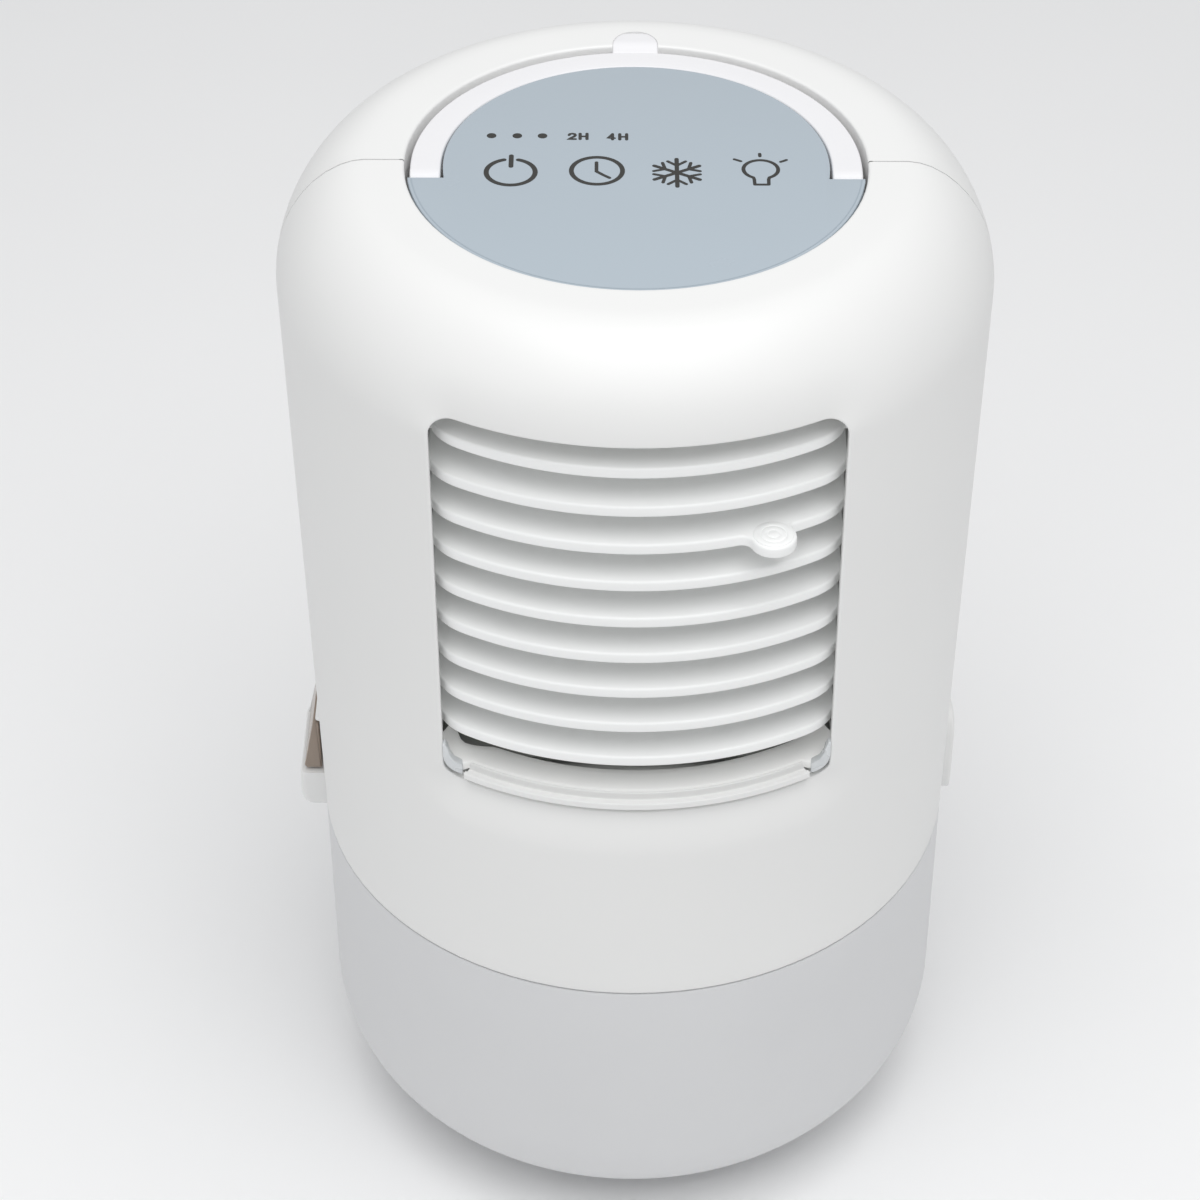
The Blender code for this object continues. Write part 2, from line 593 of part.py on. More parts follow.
# --------------------------------------------------- water path, power, lamp
drip = add("drip_tray", *prism(rounded(-37, 37, 28, 60, 3, 2), "z", 239.2, 246.0), WHITE, parent=head)
drip_inside = add("cut_drip", *prism(rounded(-35.4, 35.4, 29.6, 58.4, 2, 2), "z", 240.8, 250.0), helper=True)
boolean(drip, drip_inside)
add("pump",
    *revolve([(0, 14), (11.0, 14), (12.0, 15), (12.0, 34), (9.5, 37.5), (4.2, 37.5), (4.2, 42.0), (0, 42.0)], 24, lambda x, y, t: (48 + x, 18 + y, t)),
    DARK, parent=head)

tube_curve = bpy.data.curves.new("riser_tube", "CURVE")
tube_curve.dimensions = "3D"
tube_curve.bevel_depth = 2.4 * MM
tube_curve.bevel_resolution = 1
tube_curve.use_fill_caps = True
spline = tube_curve.splines.new("POLY")
route = [(48, 18, 42.4 + 26.0 * k) for k in range(8)]
route += [(48, 18, 238.0), (47.4, 19.2, 243.5), (45.2, 23.2, 248.0), (41.5, 29.8, 250.4), (36.8, 38.0, 250.6), (31.5, 44.0, 250.6)]
spline.points.add(len(route) - 1)
for point, at in zip(spline.points, route):
    point.co = (at[0] * MM, at[1] * MM, at[2] * MM, 1.0)
tube = bpy.data.objects.new("riser_tube", tube_curve)
bpy.context.scene.collection.objects.link(tube)
tube.parent = head
tube_curve.materials.append(CLEAR)

add("power_board", *prism(rounded(-6, 34, 104, 142, 2, 2), "x", 60.0, 61.6), BOARD, parent=head)
# raised pad round the inlet, wrapped over the seam on the right-hand side
pad = add("inlet_plate", *revolve([(77.6, 78.0), (80.1, 78.0), (80.1, 108.0), (77.6, 108.0)], 12, a0=-6, a1=20), WHITE, parent=head)
pad_keep = add("keep_inlet", *prism(rounded(0.6, 18.4, 80.0, 106.0, 6.0, 4), "x", 70, 90), helper=True)
boolean(pad, pad_keep, "INTERSECT")
boolean(pad, inlet_hole)
add("inlet_socket",
    *revolve([(0, 70.0), (4.2, 70.0), (4.2, 79.2), (3.0, 79.2), (3.0, 71.5), (0.7, 71.5), (0.7, 77.6), (0, 77.9)], 16,
             lambda x, y, t: (t, INLET_Y + x, INLET_Z + y)),
    DARK, parent=head)

# fill spout on the left-hand side: hood above, lip below, open between them
spout_side = [(-70.0, 110.5), (-77.4, 110.5), (-81.5, 101.5), (-84.9, 84.4), (-84.8, 81.2), (-84.0, 79.2), (-82.4, 78.3), (-70.0, 78.3)]
spout = add("fill_spout", *prism(spout_side, "y", 2.0, 28.0), WHITE, parent=head)
spout_mouth = add("cut_mouth", *prism([(-60, 90.2), (-90, 90.2), (-90, 100.4), (-80, 101.0), (-60, 102.6)], "y", -5, 25.4), helper=True)
boolean(spout, spout_mouth)
body_clear = add("cut_body", *revolve([(0, 60), (77.6, 60), (77.6, 130), (0, 130)], 128), helper=True)
boolean(spout, body_clear)
hopper_side = [(-78.6, 90.6), (-82.9, 90.6), (-83.35, 91.2), (-81.3, 100.2), (-80.4, 100.2), (-78.6, 98.6)]
hopper = add("fill_hopper", *prism(hopper_side, "y", 3.0, 25.0), TINTED, origin=(-HOPPER_PIVOT[0], 14.0, HOPPER_PIVOT[1]), parent=hopper_axis)
hopper_inside = add("cut_hopper", *prism([(-70, 91.9), (-81.7, 91.9), (-79.6, 103.0), (-70, 103.0)], "y", 4.3, 23.7), helper=True)
boolean(hopper, hopper_inside)
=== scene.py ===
"""Looks for the personal evaporative air cooler: a detailed piece for every surface that shows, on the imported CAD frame."""

import math

import bmesh
import bpy
from mathutils import Matrix, Vector


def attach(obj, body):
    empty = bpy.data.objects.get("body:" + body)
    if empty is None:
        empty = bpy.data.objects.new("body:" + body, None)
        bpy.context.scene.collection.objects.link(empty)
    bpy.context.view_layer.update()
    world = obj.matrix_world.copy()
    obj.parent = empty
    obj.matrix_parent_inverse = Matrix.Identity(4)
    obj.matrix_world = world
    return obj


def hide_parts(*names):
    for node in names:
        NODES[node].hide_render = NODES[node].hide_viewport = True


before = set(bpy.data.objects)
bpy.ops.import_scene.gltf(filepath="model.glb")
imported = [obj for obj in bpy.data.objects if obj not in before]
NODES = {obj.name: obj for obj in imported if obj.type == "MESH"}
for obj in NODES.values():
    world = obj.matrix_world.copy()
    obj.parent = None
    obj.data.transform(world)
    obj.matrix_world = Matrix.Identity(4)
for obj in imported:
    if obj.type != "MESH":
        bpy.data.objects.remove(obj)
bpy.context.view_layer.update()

MM = 0.001

# ------------------------------------------------------------------ dimensions
# all in millimetres, in the CAD's frame: origin at the base's centre, front -Y
HEIGHT = 267.0
R_SHOULDER, R_SEAM = 79.0, 77.0
Z_SEAM, Z_RIM, Z_SHOULDER = 89.1, 88.7, 241.0
WALL = 2.2
SHOULDER_W, SHOULDER_EXP = 20.3, 1.78
R_HOLE, LIP_BOTTOM = 50.0, 257.4
TANK_FLAT, TANK_FILLET_Z, TANK_EXP, TANK_BOTTOM, TANK_WALL = 40.0, 33.0, 1.88, 1.2, 2.4
PAD_R, PAD_T = 36.0, 2.2
WIN_HALF, WIN_Z0, WIN_Z1, WIN_R = 43.5, 144.9, 246.8, 5.2
SLATS, SLAT_PITCH, SLAT_Z0 = 9, 9.83, 237.6
SLAT_R, SLAT_HALF, SLAT_CORNER, SLAT_BACK, SLAT_T, SLAT_LIP = 75.3, 43.85, 5.95, -53.6, 1.5, 2.6
PIVOT_Y, LUG_X, LINK_Y = -56.0, -34.0, -48.0
TAB_ANGLE, TAB_R, TAB_AT = 21.4, 4.9, 77.0
HINGE_Y, HINGE_Z = -2.1, 262.6
HANDLE_IN, HANDLE_OUT, HANDLE_END_R = 42.2, 48.8, 3.4
PANEL_TOP, PANEL_T = 266.2, 1.5
DRAWER_HALF, DRAWER_Z0, DRAWER_Z1 = 43.5, 103.5, 236.5
FAN_Z = 190.0


def r_out(z):
    return R_SEAM + (R_SHOULDER - R_SEAM) * (z - 89.0) / (Z_SHOULDER - 89.0)


# ------------------------------------------------------------------- materials
def new_material(name):
    mat = bpy.data.materials.new(name)
    mat.use_nodes = True
    tree = mat.node_tree
    for node in list(tree.nodes):
        if node.type not in ("BSDF_PRINCIPLED", "OUTPUT_MATERIAL"):
            tree.nodes.remove(node)
    return mat, tree, tree.nodes["Principled BSDF"]


def node(tree, kind, **values):
    made = tree.nodes.new(kind)
    for key, value in values.items():
        if hasattr(made, key) and key not in made.inputs:
            setattr(made, key, value)
        else:
            made.inputs[key].default_value = value
    return made


def wire(tree, a, out, b, inp):
    tree.links.new(a.outputs[out], b.inputs[inp])


def ramp(tree, stops):
    made = tree.nodes.new("ShaderNodeValToRGB")
    band = made.color_ramp
    while len(band.elements) > 1:
        band.elements.remove(band.elements[-1])
    band.elements[0].position, band.elements[0].color = stops[0][0], (*stops[0][1], 1)
    for at, colour in stops[1:]:
        element = band.elements.new(at)
        element.color = (*colour, 1)
    return made


def scaled(colour, k):
    return tuple(min(1.0, c * k) for c in colour)


def moulded(name, colour, rough=0.36, grain=0.05, grain_scale=1500.0, spread=0.012, specular=0.5, **extra):
    """Moulded plastic: spark-eroded grain, slow waviness of the gloss, and slight flow-marks in the colour."""
    mat, tree, bsdf = new_material(name)
    place = node(tree, "ShaderNodeTexCoord")
    fine = node(tree, "ShaderNodeTexNoise", Scale=grain_scale, Detail=3.0, Roughness=0.6)
    wide = node(tree, "ShaderNodeTexNoise", Scale=14.0, Detail=3.0, Roughness=0.5)
    flow = node(tree, "ShaderNodeTexNoise", Scale=55.0, Detail=4.0, Roughness=0.55)
    for tex in (fine, wide, flow):
        wire(tree, place, "Object", tex, "Vector")
    tone = ramp(tree, [(0.25, scaled(colour, 1 - spread)), (0.55, colour), (0.8, scaled(colour, 1 + spread))])
    wire(tree, wide, "Fac", tone, "Fac")
    wire(tree, tone, "Color", bsdf, "Base Color")
    gloss = node(tree, "ShaderNodeMapRange")
    gloss.inputs["From Min"].default_value = 0.3
    gloss.inputs["From Max"].default_value = 0.7
    gloss.inputs["To Min"].default_value = rough - 0.035
    gloss.inputs["To Max"].default_value = rough + 0.035
    wire(tree, flow, "Fac", gloss, "Value")
    wire(tree, gloss, "Result", bsdf, "Roughness")
    bump = node(tree, "ShaderNodeBump", Strength=grain, Distance=0.00015)
    wire(tree, fine, "Fac", bump, "Height")
    wire(tree, bump, "Normal", bsdf, "Normal")
    bsdf.inputs["Specular IOR Level"].default_value = specular
    for key, value in extra.items():
        bsdf.inputs[key.replace("_", " ")].default_value = value
    return mat


WHITE = moulded("shell_white", (0.865, 0.865, 0.855), 0.40, 0.06)
# slat white glows faintly: painted light that lifts the shade between the slats and on the finger tab
SLAT_PAINTED_LIGHT_WHITE = moulded("slat_white", (0.90, 0.905, 0.90), 0.36, 0.03, Emission_Color=(0.95, 0.97, 0.95, 1.0), Emission_Strength=0.05)
HANDLE_WHITE = moulded("handle_white", (0.86, 0.855, 0.87), 0.38, 0.05)
# ledge white glows faintly: painted light that lifts the shade the slat above casts on the ledge
LEDGE_PAINTED_LIGHT_WHITE = moulded("ledge_white_painted_glow", (0.88, 0.88, 0.865), 0.42, 0.05, Emission_Color=(0.95, 0.95, 0.92, 1.0), Emission_Strength=0.05)
FRAME_WHITE = moulded("frame_white", (0.80, 0.805, 0.79), 0.42, 0.05)
INNER_WHITE = moulded("inner_white", (0.70, 0.70, 0.69), 0.45, 0.05)
PANEL = moulded("panel_blue_grey", (0.440, 0.503, 0.556), 0.24, 0.012, 2600.0, 0.008)
PANEL_RIM = moulded("panel_rim", (0.340, 0.400, 0.450), 0.28, 0.012, 2600.0, 0.008)
GREY = moulded("grey_plastic", (0.17, 0.175, 0.17), 0.45, 0.08)
# mid-dark grey for the plate behind the outlet ledge: painted shade for the deep dark of the outlet
OUTLET_SHADE_GREY = moulded("outlet_painted_shade_grey", (0.25, 0.255, 0.24), 0.5, 0.08)
DARK = moulded("dark_plastic", (0.022, 0.022, 0.025), 0.42, 0.10)
INK = moulded("icon_ink", (0.036, 0.035, 0.032), 0.42, 0.03, 4000.0, 0.20)
RUBBER = moulded("grey_rubber", (0.075, 0.075, 0.078), 0.78, 0.30, 900.0, 0.06)


def frosted(name):
    """Milky tank plastic: a fine etched surface, slow clouding in the milkiness, and some light let through."""
    mat, tree, bsdf = new_material(name)
    place = node(tree, "ShaderNodeTexCoord")
    fine = node(tree, "ShaderNodeTexNoise", Scale=2200.0, Detail=2.0, Roughness=0.5)
    cloud = node(tree, "ShaderNodeTexNoise", Scale=22.0, Detail=4.0, Roughness=0.55)
    for tex in (fine, cloud):
        wire(tree, place, "Object", tex, "Vector")
    tone = ramp(tree, [(0.3, (0.772, 0.776, 0.786)), (0.55, (0.785, 0.789, 0.798)), (0.8, (0.796, 0.800, 0.808))])
    wire(tree, cloud, "Fac", tone, "Fac")
    wire(tree, tone, "Color", bsdf, "Base Color")
    gloss = node(tree, "ShaderNodeMapRange")
    gloss.inputs["To Min"].default_value = 0.34
    gloss.inputs["To Max"].default_value = 0.46
    wire(tree, cloud, "Fac", gloss, "Value")
    wire(tree, gloss, "Result", bsdf, "Roughness")
    bump = node(tree, "ShaderNodeBump", Strength=0.06, Distance=0.0001)
    wire(tree, fine, "Fac", bump, "Height")
    wire(tree, bump, "Normal", bsdf, "Normal")
    bsdf.inputs["Transmission Weight"].default_value = 0.10
    bsdf.inputs["IOR"].default_value = 1.46
    return mat


def clear(name, colour, rough, through, tint_spread=0.03):
    """Clear or tinted plastic with faint flow lines and fine scratches in its gloss."""
    mat, tree, bsdf = new_material(name)
    place = node(tree, "ShaderNodeTexCoord")
    flow = node(tree, "ShaderNodeTexNoise", Scale=130.0, Detail=3.0, Roughness=0.6)
    fine = node(tree, "ShaderNodeTexNoise", Scale=1200.0, Detail=2.0, Roughness=0.5)
    for tex in (flow, fine):
        wire(tree, place, "Object", tex, "Vector")
    tone = ramp(tree, [(0.3, scaled(colour, 1 - tint_spread)), (0.7, scaled(colour, 1 + tint_spread))])
    wire(tree, flow, "Fac", tone, "Fac")
    wire(tree, tone, "Color", bsdf, "Base Color")
    gloss = node(tree, "ShaderNodeMapRange")
    gloss.inputs["To Min"].default_value = max(0.02, rough - 0.06)
    gloss.inputs["To Max"].default_value = rough + 0.06
    wire(tree, flow, "Fac", gloss, "Value")
    wire(tree, gloss, "Result", bsdf, "Roughness")
    bump = node(tree, "ShaderNodeBump", Strength=0.05, Distance=0.0001)
    wire(tree, fine, "Fac", bump, "Height")
    wire(tree, bump, "Normal", bsdf, "Normal")
    bsdf.inputs["Transmission Weight"].default_value = through
    bsdf.inputs["IOR"].default_value = 1.49
    return mat


def turned_steel(name, colour, rough, stretch=(1.0, 1.0, 1.0)):
    """Bright steel with brushed or turned lines and light tarnish."""
    mat, tree, bsdf = new_material(name)
    place = node(tree, "ShaderNodeTexCoord")
    turn = node(tree, "ShaderNodeMapping")
    turn.inputs["Scale"].default_value = stretch
    wire(tree, place, "Object", turn, "Vector")
    lines = node(tree, "ShaderNodeTexNoise", Scale=900.0, Detail=3.0, Roughness=0.7)
    spots = node(tree, "ShaderNodeTexNoise", Scale=150.0, Detail=4.0, Roughness=0.6)
    wire(tree, turn, "Vector", lines, "Vector")
    wire(tree, place, "Object", spots, "Vector")
    tone = ramp(tree, [(0.25, scaled(colour, 0.86)), (0.6, colour), (0.9, scaled(colour, 1.06))])
    wire(tree, spots, "Fac", tone, "Fac")
    wire(tree, tone, "Color", bsdf, "Base Color")
    gloss = node(tree, "ShaderNodeMapRange")
    gloss.inputs["To Min"].default_value = rough - 0.08
    gloss.inputs["To Max"].default_value = rough + 0.10
    wire(tree, lines, "Fac", gloss, "Value")
    wire(tree, gloss, "Result", bsdf, "Roughness")
    bump = node(tree, "ShaderNodeBump", Strength=0.12, Distance=0.0001)
    wire(tree, lines, "Fac", bump, "Height")
    wire(tree, bump, "Normal", bsdf, "Normal")
    bsdf.inputs["Metallic"].default_value = 1.0
    return mat


def circuit(name):
    """Green solder mask with brighter tracks under it and small tinned pads."""
    mat, tree, bsdf = new_material(name)
    place = node(tree, "ShaderNodeTexCoord")
    tracks = node(tree, "ShaderNodeTexBrick", Scale=260.0)
    tracks.inputs["Color1"].default_value = (0.012, 0.075, 0.030, 1)
    tracks.inputs["Color2"].default_value = (0.016, 0.095, 0.038, 1)
    tracks.inputs["Mortar"].default_value = (0.040, 0.190, 0.070, 1)
    tracks.inputs["Mortar Size"].default_value = 0.03
    dots = node(tree, "ShaderNodeTexVoronoi", Scale=300.0)
    for tex in (tracks, dots):
        wire(tree, place, "Object", tex, "Vector")
    pads = ramp(tree, [(0.16, (1, 1, 1)), (0.20, (0, 0, 0))])
    wire(tree, dots, "Distance", pads, "Fac")
    mix = node(tree, "ShaderNodeMix", data_type="RGBA")
    wire(tree, pads, "Color", mix, 0)
    wire(tree, tracks, "Color", mix, 6)
    mix.inputs[7].default_value = (0.55, 0.55, 0.52, 1)
    wire(tree, mix, 2, bsdf, "Base Color")
    bump = node(tree, "ShaderNodeBump", Strength=0.3, Distance=0.0002)
    wire(tree, pads, "Color", bump, "Height")
    wire(tree, bump, "Normal", bsdf, "Normal")
    bsdf.inputs["Roughness"].default_value = 0.35
    return mat


def cellulose(name):
    """Wet-strength paper of the evaporative pad: long fibres, blotchy tan colour."""
    mat, tree, bsdf = new_material(name)
    place = node(tree, "ShaderNodeTexCoord")
    turn = node(tree, "ShaderNodeMapping")
    turn.inputs["Scale"].default_value = (1.0, 1.0, 0.12)
    wire(tree, place, "Object", turn, "Vector")
    fibre = node(tree, "ShaderNodeTexNoise", Scale=1400.0, Detail=5.0, Roughness=0.7)
    blotch = node(tree, "ShaderNodeTexNoise", Scale=60.0, Detail=4.0, Roughness=0.6)
    wire(tree, turn, "Vector", fibre, "Vector")
    wire(tree, place, "Object", blotch, "Vector")
    tone = ramp(tree, [(0.25, (0.36, 0.27, 0.17)), (0.5, (0.50, 0.40, 0.27)), (0.8, (0.62, 0.52, 0.38))])
    mix = node(tree, "ShaderNodeMath", operation="MULTIPLY_ADD")
    wire(tree, fibre, "Fac", mix, 0)
    mix.inputs[1].default_value = 0.45
    half = node(tree, "ShaderNodeMath", operation="MULTIPLY")
    wire(tree, blotch, "Fac", half, 0)
    half.inputs[1].default_value = 0.55
    wire(tree, half, 0, mix, 2)
    wire(tree, mix, 0, tone, "Fac")
    wire(tree, tone, "Color", bsdf, "Base Color")
    bump = node(tree, "ShaderNodeBump", Strength=0.55, Distance=0.0003)
    wire(tree, fibre, "Fac", bump, "Height")
    wire(tree, bump, "Normal", bsdf, "Normal")
    bsdf.inputs["Roughness"].default_value = 0.92
    return mat


FROSTED = frosted("frosted_tank")
CLEAR = clear("clear_corner", (0.80, 0.825, 0.84), 0.28, 0.15)
TUBE = clear("clear_tube", (0.84, 0.88, 0.90), 0.18, 0.6)
TINTED = clear("tinted_hopper", (0.46, 0.37, 0.30), 0.20, 0.35)
STEEL = turned_steel("steel", (0.60, 0.60, 0.61), 0.30, (1.0, 1.0, 0.08))
SCREW_STEEL = turned_steel("screw_steel", (0.52, 0.52, 0.53), 0.34)
BOARD = circuit("circuit_board")
PAPER = cellulose("pad_paper")
LAMP = moulded("lamp_board_white", (0.72, 0.73, 0.72), 0.30, 0.04, 1800.0, 0.03)
LED = clear("led_lens", (0.90, 0.88, 0.70), 0.12, 0.3)


# ---------------------------------------------------------------- mesh helpers
def piece(name, verts, faces, look, body, stands_for=(), slot=None, sharp=38.0, weld=None, recalc=True):
    """One mesh piece from points in millimetres, riding on a CAD body."""
    bm = bmesh.new()
    made = [bm.verts.new((v[0] * MM, v[1] * MM, v[2] * MM)) for v in verts]
    for face in faces:
        if len(set(face)) > 2:
            try:
                bm.faces.new([made[i] for i in face])
            except ValueError:
                pass
    if weld:
        bmesh.ops.remove_doubles(bm, verts=bm.verts, dist=weld * MM)
    if recalc:
        bmesh.ops.recalc_face_normals(bm, faces=bm.faces)
        if bm.calc_volume(signed=True) < 0:
            bmesh.ops.reverse_faces(bm, faces=bm.faces)
    mesh = bpy.data.meshes.new(name)
    bm.to_mesh(mesh)
    bm.free()
    mesh.shade_smooth()
    mesh.set_sharp_from_angle(angle=math.radians(sharp))
    mesh.materials.append(look)
    obj = bpy.data.objects.new(name, mesh)
    bpy.context.scene.collection.objects.link(obj)
    if body:
        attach(obj, body)
    if stands_for:
        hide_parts(*stands_for)
    return obj


def cutter(name, verts, faces):
    obj = piece(name, verts, faces, DARK, None)
    obj.hide_render = True
    obj.hide_viewport = True
    return obj


def cut(obj, verts, faces, operation="DIFFERENCE", sharp=38.0):
    """A Boolean with a closed shape, applied at once."""
    tool = cutter(obj.name + "_tool", verts, faces)
    mod = obj.modifiers.new("cut", "BOOLEAN")
    mod.operation, mod.solver, mod.object = operation, "EXACT", tool
    tool.hide_viewport = False
    graph = bpy.context.evaluated_depsgraph_get()
    mesh = bpy.data.meshes.new_from_object(obj.evaluated_get(graph))
    obj.modifiers.clear()
    old = obj.data
    obj.data = mesh
    bpy.data.meshes.remove(old)
    tool_mesh = tool.data
    bpy.data.objects.remove(tool)
    bpy.data.meshes.remove(tool_mesh)
    mesh.shade_smooth()
    mesh.set_sharp_from_angle(angle=math.radians(sharp))
    return obj


def same(x, y, t):
    return (x, y, t)


def revolve(profile, n, place=same, a0=0.0, a1=360.0, closed=True):
    """Turns a (radius, height) profile, all round or between two angles. closed joins its last point to the first."""
    full = abs(a1 - a0) >= 359.999
    steps = n if full else n + 1
    verts, rings = [], []
    for r, t in profile:
        if abs(r) < 1e-6:
            rings.append([len(verts)] * steps)
            verts.append(place(0.0, 0.0, t))
            continue
        ring = []
        for k in range(steps):
            a = math.radians(a0 + (a1 - a0) * k / n)
            ring.append(len(verts))
            verts.append(place(r * math.cos(a), r * math.sin(a), t))
        rings.append(ring)
    faces = []
    m = len(profile)
    for i in range(m if closed else m - 1):
        p, q = rings[i], rings[(i + 1) % m]
        for k in range(n):
            j = (k + 1) % steps
            loop = []
            for v in (p[k], p[j], q[j], q[k]):
                if v not in loop:
                    loop.append(v)
            if len(loop) > 2:
                faces.append(loop)
    if not full and closed:
        faces.append([ring[0] for ring in rings])
        faces.append([ring[-1] for ring in rings][::-1])
    return verts, faces


def loft(sections, caps=True):
    m = len(sections[0])
    verts = [p for s in sections for p in s]
    faces = [list(range(m))[::-1], [len(verts) - m + i for i in range(m)]] if caps else []
    for s in range(len(sections) - 1):
        for i in range(m):
            j = (i + 1) % m
            faces.append([s * m + i, s * m + j, (s + 1) * m + j, (s + 1) * m + i])
    return verts, faces


def join(parts):
    verts, faces = [], []
    for v, f in parts:
        base = len(verts)
        verts += list(v)
        faces += [[i + base for i in face] for face in f]
    return verts, faces


def round_poly(points, radius, n=4, shut=True):
    """Rounds each corner of a polygon. radius is one number or one for each corner."""
    m = len(points)
    radii = radius if hasattr(radius, "__len__") else [radius] * m
    out = []
    for i in range(m):
        p = points[i]
        r = radii[i]
        if r <= 1e-6 or (not shut and i in (0, m - 1)):
            out.append(p)
            continue
        a, b = points[i - 1], points[(i + 1) % m]
        ua = (a[0] - p[0], a[1] - p[1])
        ub = (b[0] - p[0], b[1] - p[1])
        la, lb = math.hypot(*ua), math.hypot(*ub)
        if la < 1e-9 or lb < 1e-9:
            out.append(p)
            continue
        ua, ub = (ua[0] / la, ua[1] / la), (ub[0] / lb, ub[1] / lb)
        cosine = max(-1.0, min(1.0, ua[0] * ub[0] + ua[1] * ub[1]))
        half = math.acos(cosine) / 2
        if half > math.radians(88):
            out.append(p)
            continue
        reach = min(r / math.tan(half), la * 0.48, lb * 0.48)
        rr = reach * math.tan(half)
        mid = (ua[0] + ub[0], ua[1] + ub[1])
        lm = math.hypot(*mid)
        centre = (p[0] + mid[0] / lm * rr / math.sin(half), p[1] + mid[1] / lm * rr / math.sin(half))
        s = (p[0] + ua[0] * reach, p[1] + ua[1] * reach)
        e = (p[0] + ub[0] * reach, p[1] + ub[1] * reach)
        t0 = math.atan2(s[1] - centre[1], s[0] - centre[0])
        t1 = math.atan2(e[1] - centre[1], e[0] - centre[0])
        d = (t1 - t0 + math.pi) % (2 * math.pi) - math.pi
        for k in range(n + 1):
            t = t0 + d * k / n
            out.append((centre[0] + rr * math.cos(t), centre[1] + rr * math.sin(t)))
    return out


def inset(outline, d):
    """Moves each point of a counter-clockwise outline inwards."""
    if abs(d) < 1e-9:
        return list(outline)
    m = len(outline)
    out = []
    for i in range(m):
        a, p, b = outline[i - 1], outline[i], outline[(i + 1) % m]
        e1 = (p[0] - a[0], p[1] - a[1])
        e2 = (b[0] - p[0], b[1] - p[1])
        l1, l2 = math.hypot(*e1) or 1e-9, math.hypot(*e2) or 1e-9
        n1, n2 = (-e1[1] / l1, e1[0] / l1), (-e2[1] / l2, e2[0] / l2)
        nx, ny = n1[0] + n2[0], n1[1] + n2[1]
        ln = math.hypot(nx, ny) or 1e-9
        nx, ny = nx / ln, ny / ln
        c = max(0.35, nx * n1[0] + ny * n1[1])
        out.append((p[0] + nx * d / c, p[1] + ny * d / c))
    return out


def ccw(outline):
    area = sum(outline[i - 1][0] * outline[i][1] - outline[i][0] * outline[i - 1][1] for i in range(len(outline)))
    return list(outline) if area > 0 else list(outline)[::-1]


PUTS = {
    "z": lambda a, b, t: (a, b, t),
    "y": lambda a, b, t: (a, t, b),
    "x": lambda a, b, t: (t, a, b),
}


def soft_prism(outline, axis, lo, hi, edge=0.4, n=3, edge_lo=None, put=None):
    """Extrudes an outline and rounds the edges of both ends."""
    put = put or PUTS[axis]
    outline = ccw(outline)
    low = edge if edge_lo is None else edge_lo
    sections = []
    for k in range(n + 1 if low > 0 else 1):
        a = math.radians(90 * k / n)
        sections.append([put(u, v, lo + low * (1 - math.sin(a))) for u, v in inset(outline, low * (1 - math.cos(a)))])
    sections = sections[::-1] if low > 0 else sections
    # the loops run from the end face outwards
    first = []
    for k in range(n + 1 if low > 0 else 1):
        a = math.radians(90 * k / n)
        first.append([put(u, v, lo + low * (1 - math.cos(a))) for u, v in inset(outline, low * (1 - math.sin(a)))])
    last = []
    for k in range(n + 1 if edge > 0 else 1):
        a = math.radians(90 * k / n)
        last.append([put(u, v, hi - edge * (1 - math.cos(a))) for u, v in inset(outline, edge * (1 - math.sin(a)))])
    return loft(first + last[::-1])


def rounded(a0, a1, b0, b1, r, n=6):
    out = []
    for ca, cb, start in ((a1 - r, b1 - r, 0), (a0 + r, b1 - r, 90), (a0 + r, b0 + r, 180), (a1 - r, b0 + r, 270)):
        for k in range(n + 1):
            t = math.radians(start + 90 * k / n)
            out.append((ca + r * math.cos(t), cb + r * math.sin(t)))
    return out


def circle(ca, cb, r, n, start=0.0):
    return [(ca + r * math.cos(math.radians(start) + 2 * math.pi * k / n), cb + r * math.sin(math.radians(start) + 2 * math.pi * k / n)) for k in range(n)]


def radial(angle, z):
    ca, sa = math.cos(math.radians(angle)), math.sin(math.radians(angle))
    return lambda x, y, t: (t * ca - x * sa, t * sa + x * ca, z + y)


def superellipse(n, exponent, start=0.0, end=90.0):
    out = []
    for k in range(n + 1):
        a = math.radians(start + (end - start) * k / n)
        out.append((max(math.cos(a), 0.0) ** (2 / exponent), max(math.sin(a), 0.0) ** (2 / exponent)))
    return out


def smooth_step(t):
    t = max(0.0, min(1.0, t))
    return t * t * (3 - 2 * t)


# ---------------------------------------------------------------- camera, stage
camera_data = bpy.data.cameras.new("camera")
camera_data.sensor_fit = "HORIZONTAL"
camera_data.sensor_width = 36.0
camera_data.lens = 94.923
camera_data.shift_x = -0.1125
camera_data.shift_y = 0.0394
camera_data.clip_start = 0.05
camera_data.clip_end = 30.0
camera_data.dof.use_dof = False
camera = bpy.data.objects.new("camera", camera_data)
right = Vector((0.99923, -0.03132, 0.02352)).normalized()
back = Vector((-0.03911, -0.76613, 0.64149)).normalized()
up = back.cross(right).normalized()
right = up.cross(back).normalized()
place = Matrix((right, up, back)).transposed().to_4x4()
place.translation = Vector((-5.76, -590.96, 624.78)) * MM
camera.matrix_world = place
bpy.context.scene.collection.objects.link(camera)
bpy.context.scene.camera = camera

floor_mat = moulded("floor_pale", (0.955, 0.955, 0.955), 0.85, 0.05, 300.0, 0.004, specular=0.1)
floor_bm = bmesh.new()
bmesh.ops.create_grid(floor_bm, x_segments=8, y_segments=8, size=4.0)
floor_mesh = bpy.data.meshes.new("floor")
floor_bm.to_mesh(floor_mesh)
floor_bm.free()
floor_mesh.materials.append(floor_mat)
floor = bpy.data.objects.new("floor", floor_mesh)
floor.location.z = -0.0003
bpy.context.scene.collection.objects.link(floor)

world = bpy.data.worlds.new("studio") if bpy.context.scene.world is None else bpy.context.scene.world
bpy.context.scene.world = world
world.use_nodes = True
backdrop = world.node_tree.nodes["Background"]
backdrop.inputs["Color"].default_value = (0.975, 0.985, 1.0, 1)
backdrop.inputs["Strength"].default_value = 0.47


